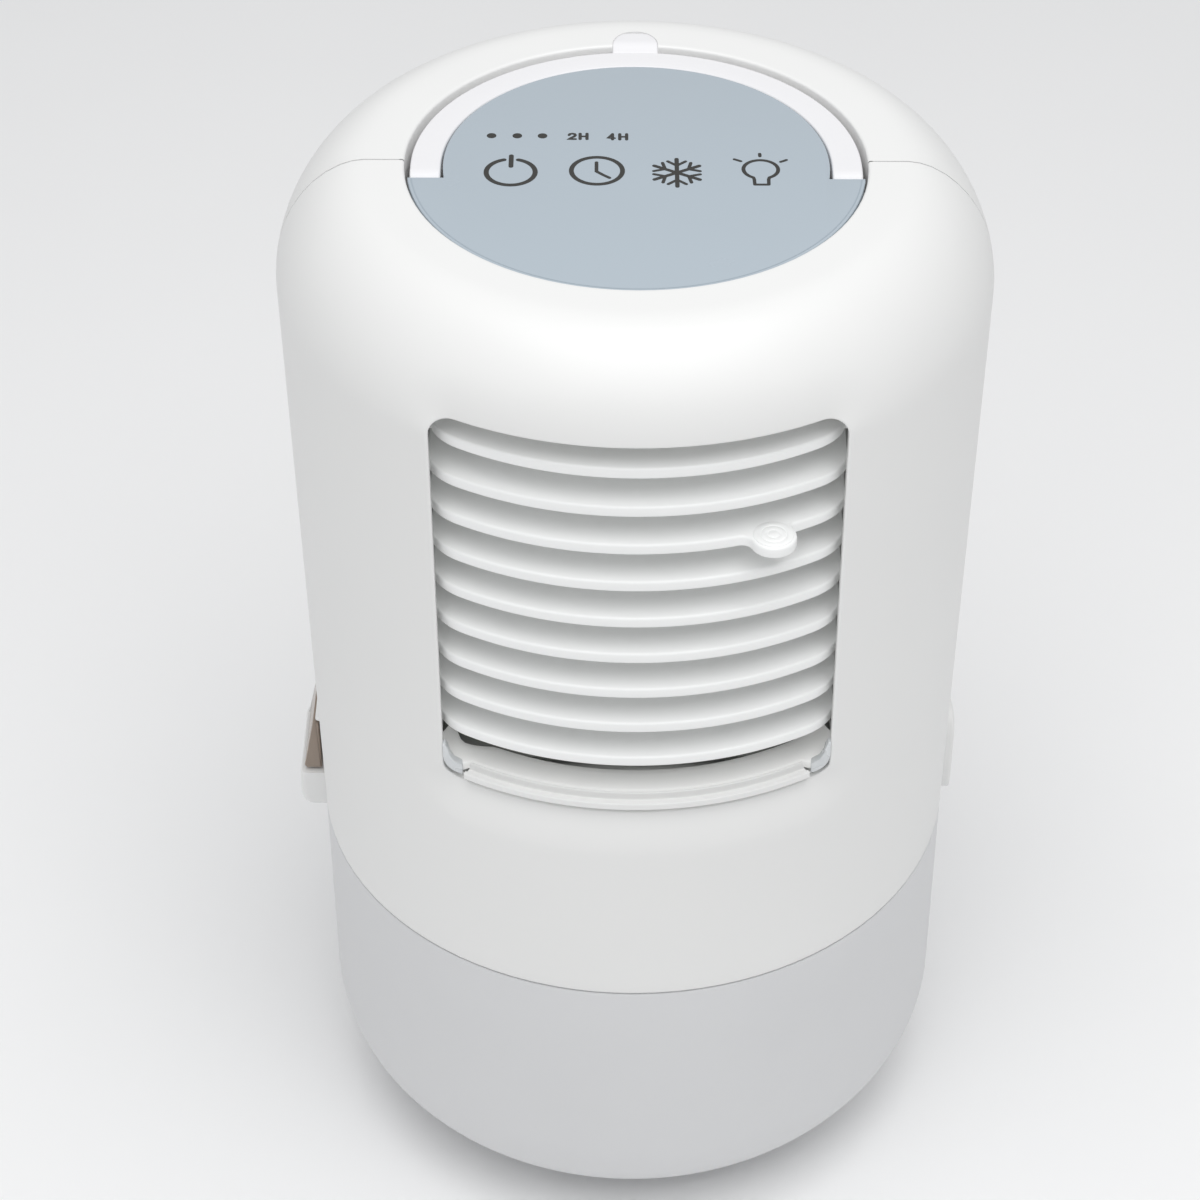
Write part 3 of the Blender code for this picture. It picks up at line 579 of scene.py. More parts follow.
def softbox(name, at, aim, size, power, colour=(1, 1, 1)):
    data = bpy.data.lights.new(name, "AREA")
    data.shape = "RECTANGLE"
    data.size, data.size_y = size
    data.energy = power
    data.color = colour
    light = bpy.data.objects.new(name, data)
    light.location = at
    light.rotation_euler = (Vector(aim) - Vector(at)).to_track_quat("-Z", "Y").to_euler()
    bpy.context.scene.collection.objects.link(light)
    return light


softbox("key_top", (0.06, -0.42, 1.5), (0, 0, 0.15), (1.3, 1.3), 14.6)
softbox("fill_left", (-1.4, -1.1, 0.8), (0, 0, 0.15), (1.0, 1.0), 0.7)
bpy.context.scene.view_settings.view_transform = "Standard"
bpy.context.scene.view_settings.look = "None"
bpy.context.scene.view_settings.exposure = 0.0
bpy.context.scene.view_settings.gamma = 1.0

# ------------------------------------------------- housing: the two half shells
SHELL = []
for k in range(41):
    z = Z_SEAM + 0.45 + (Z_SHOULDER - Z_SEAM - 0.45) * k / 40
    SHELL.append((r_out(z), z))
for c, s in superellipse(72, SHOULDER_EXP)[1:]:
    SHELL.append((R_SHOULDER - SHOULDER_W + SHOULDER_W * c, Z_SHOULDER + (HEIGHT - Z_SHOULDER) * s))
for k in range(1, 9):
    SHELL.append((58.7 - (58.7 - 51.0) * k / 8, HEIGHT))
LENGTHS = [0.0]
for a, b in zip(SHELL, SHELL[1:]):
    LENGTHS.append(LENGTHS[-1] + math.hypot(b[0] - a[0], b[1] - a[1]))
T_END = LENGTHS[-1]


def along(t):
    """(radius, height) at this length along the shell's outer profile, from the seam up."""
    t = max(0.0, min(T_END, t))
    lo, hi = 0, len(LENGTHS) - 1
    while hi - lo > 1:
        mid = (lo + hi) // 2
        if LENGTHS[mid] <= t:
            lo = mid
        else:
            hi = mid
    f = (t - LENGTHS[lo]) / max(1e-9, LENGTHS[hi] - LENGTHS[lo])
    a, b = SHELL[lo], SHELL[hi]
    return a[0] + (b[0] - a[0]) * f, a[1] + (b[1] - a[1]) * f


def profile_at(t):
    r, z = along(t)
    a, b = along(t - 0.6), along(t + 0.6)
    dr, dz = b[0] - a[0], b[1] - a[1]
    length = math.hypot(dr, dz)
    return r, z, dz / length, -dr / length


def length_at(z):
    """Length along the profile at this height, below the flat top."""
    lo, hi = 0.0, T_END - 7.8
    for _ in range(50):
        mid = (lo + hi) / 2
        if along(mid)[1] < z:
            lo = mid
        else:
            hi = mid
    return lo


SPLIT = math.degrees(0.15 / R_HOLE)


def half_shell(name, half, z0, z1, radius, dishes, dish_width, edge, sign, body):
    """A half shell round a window with rounded corners: loops that follow the window's outline, with a dished
    surround, and that open out to the half shell's own edges. dishes are the depths at the sides, below and above.
    sign is -1 for the front half."""

    def wide(z):
        """Angle per unit of the across measure p, which is half at the window's sides."""
        return math.asin(half / r_out(min(max(z, 89.0), Z_SHOULDER))) / half

    def spot(p, t, depth):
        r, z, nr, nz = profile_at(t)
        a = p * wide(z)
        rr = r - depth * nr
        return (rr * math.sin(a), sign * rr * math.cos(a), z - depth * nz)

    n_side, n_flat, n_corner = 44, 44, 10
    ring, rim = [], []
    t0, t1 = length_at(z0 + radius), length_at(z1 - radius)
    reach = 13.0
    limit = math.radians(90 - SPLIT)

    def put_window(x, z):
        t = length_at(z)
        r = along(t)[0]
        return (math.asin(max(-1, min(1, x / r))) / wide(z), t)

    def corner(cx, cz, start, ends):
        """ends are the two border points on each side of the border's corner, and the corner."""
        (ap, at), (kp, kt), (bp, bt) = ends
        for k in range(1, n_corner):
            a = math.radians(start + 90 * k / n_corner)
            ring.append(put_window(cx + radius * math.cos(a), cz + radius * math.sin(a)))
            f = k / n_corner
            if f <= 0.5:
                rim.append((ap, kp, at, kt, f * 2))
            else:
                rim.append((kp, bp, kt, bt, f * 2 - 1))

    def border_p(t):
        return limit / wide(along(t)[1])

    # right side, upwards
    for k in range(n_side + 1):
        z = z0 + radius + (z1 - z0 - 2 * radius) * k / n_side
        ring.append(put_window(half, z))
        t = reach + (T_END - 2 * reach) * k / n_side
        rim.append((1.0, None, t, None, 0.0))
    corner(half - radius, z1 - radius, 0, ((1.0, T_END - reach), (1.0, T_END), (1.0 - 0.11, T_END)))
    for k in range(n_flat + 1):
        x = (half - radius) * (1 - 2 * k / n_flat)
        ring.append(put_window(x, z1))
        rim.append((0.89 * (1 - 2 * k / n_flat), None, T_END, None, 0.0))
    corner(-half + radius, z1 - radius, 90, ((-0.89, T_END), (-1.0, T_END), (-1.0, T_END - reach)))
    for k in range(n_side + 1):
        z = z1 - radius - (z1 - z0 - 2 * radius) * k / n_side
        ring.append(put_window(-half, z))
        t = T_END - reach - (T_END - 2 * reach) * k / n_side
        rim.append((-1.0, None, t, None, 0.0))
    corner(-half + radius, z0 + radius, 180, ((-1.0, reach), (-1.0, 0.0), (-0.89, 0.0)))
    for k in range(n_flat + 1):
        x = -(half - radius) * (1 - 2 * k / n_flat)
        ring.append(put_window(x, z0))
        rim.append((-0.89 * (1 - 2 * k / n_flat), None, 0.0, None, 0.0))
    corner(half - radius, z0 + radius, 270, ((0.89, 0.0), (1.0, 0.0), (1.0, reach)))

    borders = []
    for pa, pb, ta, tb, f in rim:
        p = pa if pb is None else pa + (pb - pa) * f
        t = ta if tb is None else ta + (tb - ta) * f
        borders.append((p * border_p(t), t))
    m = len(ring)
    out_of = []
    for i in range(m):
        a, b = ring[i - 1], ring[(i + 1) % m]
        d = (b[0] - a[0], b[1] - a[1])
        length = math.hypot(*d)
        out_of.append((d[1] / length, -d[0] / length))

    def offset(i, d):
        return ring[i][0] + out_of[i][0] * d, ring[i][1] + out_of[i][1] * d

    depths = []
    for i in range(m):
        across, up_ = out_of[i]
        depths.append(dishes[0] * across * across + (dishes[1] if up_ < 0 else dishes[2]) * up_ * up_)

    def dished(i, d):
        return depths[i] * max(0.0, 1 - d / dish_width) ** 1.5

    steps = [0.9, 1.4, 2.0, 2.8, 3.7, 4.7, 5.8, 7.0, 8.3, 9.7, 11.2]
    spread = 16
    verts, faces = [], []

    def add_loop(points):
        base = len(verts)
        verts.extend(points)
        return list(range(base, base + m))

    loops = []
    flange = []
    for i in range(m):
        x, y, z = spot(*offset(i, 0.0), dished(i, edge) + edge)
        flange.append((x, y - sign * (WALL + 0.5), z))
    loops.append(add_loop(flange))
    for k in range(5):
        a = math.radians(90 * k / 4)
        loops.append(add_loop([spot(*offset(i, edge * (1 - math.cos(a))), dished(i, edge) + edge * (1 - math.sin(a))) for i in range(m)]))
    for d in steps:
        loops.append(add_loop([spot(*offset(i, d), dished(i, d)) for i in range(m)]))
    last = steps[-1]
    for k in range(1, spread + 1):
        f = k / spread
        row = []
        for i in range(m):
            a = offset(i, last)
            b = borders[i]
            row.append(spot(a[0] + (b[0] - a[0]) * f, a[1] + (b[1] - a[1]) * f, 0.0))
        loops.append(add_loop(row))
    outer_last = loops[-1]
    inner = [loops[0]]
    for d in steps[4:]:
        inner.append(add_loop([spot(*offset(i, d), WALL + dished(i, d)) for i in range(m)]))
    for k in range(2, spread + 1, 2):
        f = k / spread
        row = []
        for i in range(m):
            a = offset(i, last)
            b = borders[i]
            row.append(spot(a[0] + (b[0] - a[0]) * f, a[1] + (b[1] - a[1]) * f, WALL))
        inner.append(add_loop(row))
    inner_last = inner[-1]
    for rows in (loops, inner):
        for p, q in zip(rows, rows[1:]):
            for i in range(m):
                j = (i + 1) % m
                faces.append([p[i], p[j], q[j], q[i]])
    # the seam's edge, the lip of the round opening, and the two split faces
    lip = [(R_HOLE + 0.65 + 0.65 * math.cos(math.radians(a)), HEIGHT - 0.65 + 0.65 * math.sin(math.radians(a))) for a in (90, 112, 135, 157, 180)]
    lip += [(R_HOLE, LIP_BOTTOM + 0.3), (R_HOLE + 0.3, LIP_BOTTOM), (R_HOLE + 1.5, LIP_BOTTOM), (R_HOLE + 1.8, LIP_BOTTOM + 0.3), (R_HOLE + 1.8, HEIGHT - WALL)]
    seam = [(R_SEAM - 0.45 + 0.45 * math.cos(math.radians(a)), Z_SEAM + 0.45 - 0.45 * math.sin(math.radians(a))) for a in (22, 45, 67, 90)]
    seam += [(R_SEAM - WALL + 0.3, Z_SEAM), (R_SEAM - WALL, Z_SEAM + 0.3)]
    for i in range(m):
        j = (i + 1) % m
        (pa, ta), (pb, tb) = borders[i], borders[j]
        top, bottom = ta > T_END - 1e-6 and tb > T_END - 1e-6, ta < 1e-6 and tb < 1e-6
        chain = lip if top else seam if bottom else []
        spokes = []
        for p, t in ((pa, ta), (pb, tb)):
            a = p * wide(along(t)[1])
            base = len(verts)
            verts.extend((r * math.sin(a), sign * r * math.cos(a), z) for r, z in chain)
            spokes.append(list(range(base, base + len(chain))))
        left = [outer_last[i]] + spokes[0] + [inner_last[i]]
        right_ = [outer_last[j]] + spokes[1] + [inner_last[j]]
        for k in range(len(left) - 1):
            faces.append([left[k], left[k + 1], right_[k + 1], right_[k]])
    return piece(name, verts, faces, WHITE, body, weld=0.004, sharp=34.0)


front = half_shell("front_housing", WIN_HALF, WIN_Z0, WIN_Z1, WIN_R, (0.12, 3.0, 1.3), 11.0, 0.4, -1, "head")
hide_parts("front_shell")
rear = half_shell("rear_housing", DRAWER_HALF, DRAWER_Z0, DRAWER_Z1, 7.0, (0.0, 0.0, 0.0), 10.0, 0.4, 1, "head")
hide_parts("rear_shell")


def tab_outline(grow, n=28):
    pts = [(-5.2 - grow, 45.0)]
    for k in range(n + 1):
        t = math.radians(180 - 180 * k / n)
        pts.append(((5.0 + grow) * math.cos(t), 50.6 + (5.6 + grow) * math.sin(t)))
    pts.append((5.2 + grow, 45.0))
    return pts


INLET_Y, INLET_Z = 9.0, 97.0
SCREW_ANGLE = 42.0
holes = [
    loft([[(x, y, z) for x, y in tab_outline(0.16)] for z in (263.2, 275.0)]),
    loft([[(x, y, z) for y, z in circle(INLET_Y, INLET_Z, 4.7, 48)] for x in (60, 90)]),
    loft([[(x, y, z) for y, z in rounded(5.0, 23.0, 93.2, 99.4, 1.0, 4)] for x in (-90, -60)]),
]
for z in (112.0, 228.0):
    for angle in (SCREW_ANGLE, 180 - SCREW_ANGLE):
        seat = r_out(z) - 1.15
        holes.append(revolve([(0, 60), (1.7, 60), (1.7, seat), (3.6, seat), (3.6, 90), (0, 90)], 40, radial(angle, z)))
cut(rear, *join(holes), sharp=34.0)
piece("tab_pocket_floor", *soft_prism(tab_outline(0.9), "z", 261.8, 262.9, 0.0, 1, edge_lo=0.0), WHITE, "head", (), "white_shell", sharp=40.0)

# ------------------------------------------------------------------------ tank
outer, inner = [], []
for c, s in superellipse(30, TANK_EXP, 90.0, 0.0):
    outer.append((TANK_FLAT + (R_SEAM - TANK_FLAT) * c, TANK_FILLET_Z - (TANK_FILLET_Z - TANK_BOTTOM) * s))
tank_floor = TANK_BOTTOM + 1.4 + TANK_WALL
for c, s in superellipse(22, TANK_EXP, 0.0, 90.0):
    inner.append((TANK_FLAT - 2 + (R_SEAM - TANK_WALL - TANK_FLAT + 2) * c, TANK_FILLET_Z - (TANK_FILLET_Z - tank_floor) * s))
tank = [(0.0, 2.6), (PAD_R + 0.2, 2.6), (PAD_R + 0.4, 2.4), (PAD_R + 0.4, TANK_BOTTOM + 0.2), (PAD_R + 0.6, TANK_BOTTOM)] + outer
tank += [(R_SEAM, 50.0), (R_SEAM, 70.0)]
tank += [(R_SEAM - 0.5 + 0.5 * math.cos(math.radians(a)), Z_RIM - 0.5 + 0.5 * math.sin(math.radians(a))) for a in (0, 30, 60, 90)]
tank += [(R_SEAM - TANK_WALL + 0.4, Z_RIM), (R_SEAM - TANK_WALL, Z_RIM - 0.4), (R_SEAM - TANK_WALL, 60.0)]
tank += inner + [(0.0, tank_floor)]
piece("tank_body", *revolve(tank, 144), FROSTED, "tank", ("water_tank",), "frosted_tank", sharp=30.0)

pad_profile = [(0, 0.35)]
for k in range(7):
    r = 6.0 + 4.2 * k
    pad_profile += [(r, 0.35), (r + 0.4, 0.0), (r + 2.6, 0.0), (r + 3.0, 0.35)]
pad_profile += [(PAD_R - 0.9, 0.35), (PAD_R - 0.5, 0.0), (PAD_R - 0.15, 0.15), (PAD_R, 0.5), (PAD_R, PAD_T), (0, PAD_T)]
piece("foot_pad", *revolve(pad_profile, 96), RUBBER, "tank", ("base_pad",), "rubber")

# ---------------------------------------------------------- panel, deck, handle
FRONT_LINE = HINGE_Y - HANDLE_END_R - 0.4


def keyhole(r_front, r_rear, n_front=72, n_rear=72):
    a_front = math.degrees(math.acos(min(1.0, -FRONT_LINE / r_front)))
    a_rear = math.degrees(math.asin(-FRONT_LINE / r_rear))
    pts = []
    for k in range(n_front + 1):
        a = math.radians(-90 - a_front + 2 * a_front * k / n_front)
        pts.append((r_front * math.cos(a), r_front * math.sin(a)))
    for k in range(n_rear + 1):
        a = math.radians(-a_rear + (180 + 2 * a_rear) * k / n_rear)
        pts.append((r_rear * math.cos(a), r_rear * math.sin(a)))
    return pts


piece("panel_plate", *soft_prism(keyhole(49.5, HANDLE_IN - 0.45), "z", PANEL_TOP - PANEL_T, PANEL_TOP, 0.22, 3, edge_lo=0.0),
      PANEL, "head", ("touch_panel",), "panel", sharp=40.0)
deck = piece("deck_plate",
             *revolve([(0, 254.4), (56.7, 254.4), (57, 254.7), (57, 256.7), (56.7, 257.0), (0, 257.0)], 128),
             WHITE, "head", ("top_deck",), "white_shell")
boss = soft_prism(keyhole(49.2, HANDLE_IN - 0.5), "z", 255.6, PANEL_TOP - PANEL_T - 0.3, 0.25, 2, edge_lo=0.0)
cut(deck, *boss, operation="UNION")
cut(deck, *join([loft([[(x, y, z) for y, z in circle(HINGE_Y, HINGE_Z, 1.4, 24)] for x in span]) for span in ((36.0, 50.0), (-50.0, -36.0))]))

# handle: a rounded bar bent to a half ring, whose ends close in half cylinders about the hinge
CORNER = 0.5
half_side = []
mid_r = (HANDLE_IN + HANDLE_OUT) / 2
half_side.append((HANDLE_IN, 0.0))
for k in range(6):
    a = math.radians(180 - 90 * k / 5)
    half_side.append((HANDLE_IN + CORNER + CORNER * math.cos(a), HANDLE_END_R - CORNER + CORNER * math.sin(a)))
for k in range(6):
    a = math.radians(90 - 90 * k / 5)
    half_side.append((HANDLE_OUT - CORNER + CORNER * math.cos(a), HANDLE_END_R - CORNER + CORNER * math.sin(a)))
half_side.append((HANDLE_OUT, 0.0))
full_side = half_side + [(r, -n) for r, n in half_side[-2:0:-1]]
sections = [[(r, HINGE_Y, HINGE_Z + n) for r, n in full_side]]
for k in range(97):
    a = math.pi * k / 96
    sections.append([(r * math.cos(a), r * math.sin(a), HINGE_Z + n) for r, n in full_side])
sections.append([(-r, HINGE_Y, HINGE_Z + n) for r, n in full_side])
bar = loft(sections, caps=False)
ends = []
for side in (1, -1):
    rows = []
    for k in range(19):
        a = math.pi * k / 18
        rows.append([(side * r, HINGE_Y - n * math.sin(a), HINGE_Z + n * math.cos(a)) for r, n in half_side])
    m = len(half_side)
    verts = [p for row in rows for p in row]
    faces = []
    for k in range(18):
        for i in range(m - 1):
            faces.append([k * m + i, k * m + i + 1, (k + 1) * m + i + 1, (k + 1) * m + i])
    ends.append((verts, faces))
handle = piece("handle_bar", *join([bar] + ends), HANDLE_WHITE, "handle", ("handle",), "white_handle", weld=0.003, sharp=35.0)

# lift tab: flat at the back, with a front face that slopes down to the handle
sections = []
rows = [48.0, 48.25, 48.7] + [49.2 + 0.45 * k for k in range(8)] + [52.6 + 0.4 * k for k in range(6)] + [54.9, 55.2, 55.5, 55.75, 55.95, 56.1, 56.18, 56.2]
for y in rows:
    w = 5.2 if y < 50.6 else 5.2 * math.sqrt(max(0.0025, 1 - ((y - 50.6) / 5.62) ** 2))
    top = 266.05 + 1.05 * smooth_step((y - 48.0) / 3.6)
    if y < 48.5:
        top -= 0.35 * (1 - (y - 48.0) / 0.5) ** 2
    if y > 54.8:
        top -= 0.5 * ((y - 54.8) / 1.4) ** 2.2
    e = min(0.55, w * 0.8)
    side = [(-w, 263.9)]
    for k in range(6):
        a = math.radians(180 - 90 * k / 5)
        side.append((-w + e + e * math.cos(a), top - e + e * math.sin(a)))
    for f in (0.25, 0.5, 0.75):
        side.append((-w + e + (2 * w - 2 * e) * f, top))
    for k in range(6):
        a = math.radians(90 - 90 * k / 5)
        side.append((w - e + e * math.cos(a), top - e + e * math.sin(a)))
    side.append((w, 263.9))
    sections.append([(x, y, z) for x, z in side])
piece("lift_tab", *loft(sections), HANDLE_WHITE, "handle", ("handle_lift_tab",), "white_handle", sharp=45.0)

# ------------------------------------------------------- printed marks on the panel
INK_Z0, INK_Z1 = PANEL_TOP - 0.02, PANEL_TOP + 0.035


def stroke(points, width, n_cap=5):
    """A line of even width with round ends, as one closed outline."""
    half = width / 2
    m = len(points)
    left, right_ = [], []
    for i in range(m):
        a = points[max(0, i - 1)]
        b = points[min(m - 1, i + 1)]
        d = (b[0] - a[0], b[1] - a[1])
        length = math.hypot(*d) or 1e-9
        nx, ny = -d[1] / length, d[0] / length
        widen = 1.0
        if 0 < i < m - 1:
            e = (points[i][0] - a[0], points[i][1] - a[1])
            le = math.hypot(*e) or 1e-9
            widen = 1 / max(0.5, abs((-e[1] / le) * nx + (e[0] / le) * ny))
        left.append((points[i][0] + nx * half * widen, points[i][1] + ny * half * widen))
        right_.append((points[i][0] - nx * half * widen, points[i][1] - ny * half * widen))
    def cap(p, frm, to):
        t0 = math.atan2(frm[1] - p[1], frm[0] - p[0])
        out = []
        for k in range(1, n_cap):
            t = t0 - math.pi * k / n_cap
            out.append((p[0] + half * math.cos(t), p[1] + half * math.sin(t)))
        return out
    start = cap(points[0], right_[0], left[0])
    end = cap(points[-1], left[-1], right_[-1])
    return left, right_, start, end


def ribbon(points, width):
    """The stroke as quads with fans at its ends, extruded through the ink's thickness."""
    left, right_, start, end = stroke(points, width)
    flat, tris = [], []
    m = len(points)
    flat += left + right_
    for i in range(m - 1):
        tris.append([i, m + i, m + i + 1, i + 1])
    base = len(flat)
    flat += start
    tris.append([m] + [base + k for k in range(len(start))] + [0])
    base = len(flat)
    flat += end
    tris.append([m - 1] + [base + k for k in range(len(end))] + [2 * m - 1])
    n = len(flat)
    verts = [(x, y, INK_Z1) for x, y in flat] + [(x, y, INK_Z0) for x, y in flat]
    faces = [t for t in tris] + [[i + n for i in t][::-1] for t in tris]
    rim = [m + k for k in range(m)] + [n - len(end) + k for k in range(len(end))][::-1]
    edge = list(range(m))[::-1]
    around = list(range(m)) + [2 * m + len(start) + k for k in range(len(end))] + [2 * m - 1 - k for k in range(m)] + [2 * m + k for k in range(len(start))]
    for i in range(len(around)):
        a, b = around[i], around[(i + 1) % len(around)]
        faces.append([a, b, b + n, a + n])
    return verts, faces


def arc(cx, cy, r, a0, a1, n):
    return [(cx + r * math.cos(math.radians(a0 + (a1 - a0) * k / n)), cy + r * math.sin(math.radians(a0 + (a1 - a0) * k / n))) for k in range(n + 1)]


def closed_ring(cx, cy, r, width, n=72, squash=1.0):
    verts, faces = [], []
    for rr, z in ((r - width / 2, INK_Z1), (r + width / 2, INK_Z1), (r + width / 2, INK_Z0), (r - width / 2, INK_Z0)):
        verts += [(cx + rr * math.cos(2 * math.pi * k / n), cy + rr * squash * math.sin(2 * math.pi * k / n), z) for k in range(n)]
    for s in range(4):
        t = (s + 1) % 4
        for k in range(n):
            j = (k + 1) % n
            faces.append([s * n + k, s * n + j, t * n + j, t * n + k])
    return verts, faces


def mark(name, parts):
    """Each stroke sits a hair above the one before it, so that crossings have no coincident faces."""
    lifted = [([(x, y, z + 0.0015 * k) for x, y, z in verts], faces) for k, (verts, faces) in enumerate(parts)]
    return piece(name, *join(lifted), INK, "head", sharp=60.0)


px, py = -27.1, -3.7
mark("mark_power", [ribbon(arc(px, py, 5.25, 107, 433, 60), 1.1), ribbon([(px, py + 6.7), (px, py + 4.4), (px, py + 2.3)], 1.05)])
px, py = -8.6, -3.0
mark("mark_timer", [closed_ring(px, py, 5.5, 1.05), ribbon([(px - 0.1, py + 3.4), (px - 0.1, py + 1.5), (px - 0.1, py - 0.3), (px + 1.3, py - 1.7), (px + 2.7, py - 2.9)], 0.8)])
px, py = 8.6, -3.7
flake = []
for k in range(6):
    a = 90 + 60 * k
    ca, sa = math.cos(math.radians(a)), math.sin(math.radians(a))
    flake.append(ribbon([(px, py), (px + 3 * ca, py + 3 * sa), (px + 5.6 * ca, py + 5.6 * sa)], 0.95))
    for turn in (48, -48):
        cb, sb = math.cos(math.radians(a + turn)), math.sin(math.radians(a + turn))
        bx, by = px + 2.9 * ca, py + 2.9 * sa
        flake.append(ribbon([(bx, by), (bx + 1.4 * cb, by + 1.4 * sb), (bx + 2.6 * cb, by + 2.6 * sb)], 0.75))
mark("mark_snow", flake)
px, py = 26.7, -3.1
bulb = arc(px, py + 1.1, 3.75, 305, -125, 44)
bulb_left = (px - 1.35, py - 5.2)
mark("mark_lamp", [
    ribbon(arc(px, py + 0.9, 3.75, -62, 242, 48), 0.85),
    ribbon([(px + 1.76, py - 2.41), (px + 1.55, py - 3.1), (px + 1.5, py - 5.3)], 0.75),
    ribbon([(px - 1.76, py - 2.41), (px - 1.55, py - 3.1), (px - 1.5, py - 5.3)], 0.75),
    ribbon([(px - 1.5, py - 5.3), (px, py - 5.3), (px + 1.5, py - 5.3)], 0.75),
    ribbon([(px, py + 6.3), (px, py + 6.8), (px, py + 7.3)], 0.75),
    ribbon([(px - 4.2, py + 4.2), (px - 4.9, py + 4.6), (px - 5.6, py + 5.0)], 0.7),
    ribbon([(px + 4.4, py + 4.0), (px + 5.1, py + 4.4), (px + 5.7, py + 4.8)], 0.7),
])
dots = []
for dx in (-31.6, -26.0, -20.5):
    n = 28
    verts = [(dx, 11.35, INK_Z1)] + [(dx + 1.05 * math.cos(2 * math.pi * k / n), 11.35 + 1.05 * math.sin(2 * math.pi * k / n), INK_Z1) for k in range(n)]
    low = [(x, y, INK_Z0) for x, y, z in verts]
    faces = [[0, k + 1, (k + 1) % n + 1] for k in range(n)] + [[n + 1, n + 1 + (k + 1) % n + 1, n + 1 + k + 1] for k in range(n)]
    faces += [[k + 1, (k + 1) % n + 1, n + 1 + (k + 1) % n + 1, n + 1 + k + 1] for k in range(n)]
    dots.append((verts + low, faces))
mark("mark_speed_dots", dots)


def two(x, y, h, w):
    return ribbon([(x + 0.02 * w, y + 0.72 * h), (x + 0.15 * w, y + 0.93 * h), (x + 0.5 * w, y + h), (x + 0.85 * w, y + 0.93 * h),
                   (x + 0.97 * w, y + 0.72 * h), (x + 0.8 * w, y + 0.48 * h), (x + 0.35 * w, y + 0.22 * h), (x + 0.05 * w, y + 0.02 * h),
                   (x + 0.5 * w, y), (x + w, y)], 0.66)


def four(x, y, h, w):
    return [ribbon([(x + 0.72 * w, y + h), (x + 0.36 * w, y + 0.62 * h), (x, y + 0.27 * h), (x + 0.5 * w, y + 0.25 * h), (x + 1.05 * w, y + 0.25 * h)], 0.62),
            ribbon([(x + 0.72 * w, y + h), (x + 0.72 * w, y + 0.5 * h), (x + 0.72 * w, y)], 0.7)]


def letter_h(x, y, h, w):
    return [ribbon([(x, y + h), (x, y + 0.5 * h), (x, y)], 0.72), ribbon([(x + w, y + h), (x + w, y + 0.5 * h), (x + w, y)], 0.72),
            ribbon([(x, y + 0.5 * h), (x + 0.5 * w, y + 0.5 * h), (x + w, y + 0.5 * h)], 0.62)]


mark("mark_two_hours", [two(-14.75, 10.05, 2.3, 1.45)] + letter_h(-12.3, 10.05, 2.3, 1.5))
mark("mark_four_hours", four(-6.2, 9.95, 2.3, 1.35) + letter_h(-3.65, 9.95, 2.3, 1.5))

# fine border line just inside the front edge of the panel
a_front = math.degrees(math.acos(-FRONT_LINE / 48.75))
line = arc(0, 0, 48.75, -90 - a_front + 0.6, -90 + a_front - 0.6, 120)
piece("panel_border", *ribbon(line, 0.22), PANEL_RIM, "head", sharp=60.0)

# ---------------------------------------------------------------------- louvre
def slat_z(i):
    return SLAT_Z0 - SLAT_PITCH * i


def slat_front(x):
    x = abs(x)
    corner = SLAT_CORNER
    edge = SLAT_HALF - corner
    y_arc = math.sqrt(SLAT_R ** 2 - min(x, edge) ** 2)
    if x <= edge:
        return -y_arc
    u = (x - edge) / corner
    drop = (x - edge) * edge / y_arc
    return -(y_arc - drop - corner * 0.70 * (1 - math.sqrt(max(0.0, 1 - u * u))))


tab_x, tab_y = TAB_AT * math.sin(math.radians(TAB_ANGLE)), -TAB_AT * math.cos(math.radians(TAB_ANGLE))


def slat_mesh(z0):
    """Blade with a flat front edge: its upper face rises a little towards the back, its underside is cut away."""
    edge = SLAT_HALF - SLAT_CORNER
    xs = [-edge + 2 * edge * k / 60 for k in range(61)]
    tail = [edge + SLAT_CORNER * math.sin(math.radians(90 * k / 12)) for k in range(1, 13)]
    xs = [-x for x in tail[::-1]] + xs + tail
    top = SLAT_LIP
    sections = []
    # the top slat stops short of the frame's rounded corners, which it would meet at full tilt
    short = 42.9 / SLAT_HALF if z0 > slat_z(0) - 1.0 else 1.0
    for wide in xs:
        f = slat_front(wide)
        x = wide * short
        back = SLAT_BACK + 6.6 * smooth_step((abs(x) - 36.2) / 1.2)
        deep = back - f
        row = [(x, back - 0.1, z0 + 0.95), (x, f + min(3.4, deep * 0.62), z0 + 0.95), (x, f + min(2.5, deep * 0.45), z0 + 0.55), (x, f + min(1.7, deep * 0.3), z0 + 0.06)]
        for k in range(5):
            t = math.radians(90 * k / 4)
            row.append((x, f + 0.45 - 0.45 * math.sin(t), z0 + 0.45 - 0.45 * math.cos(t)))
        for k in range(6):
            t = math.radians(90 * k / 5)
            row.append((x, f + 0.62 - 0.62 * math.cos(t), z0 + top - 0.62 + 0.62 * math.sin(t)))
        for k in range(1, 6):
            u = k / 5
            row.append((x, f + 0.62 + (deep - 1.1) * u, z0 + top + 1.25 * u * min(1.0, deep / 15.0)))
        tall = z0 + top + 1.25 * min(1.0, deep / 15.0)
        row += [(x, back - 0.15, tall - 0.18), (x, back, tall - 0.55), (x, back, z0 + 1.2)]
        sections.append(row)
    return loft(sections)


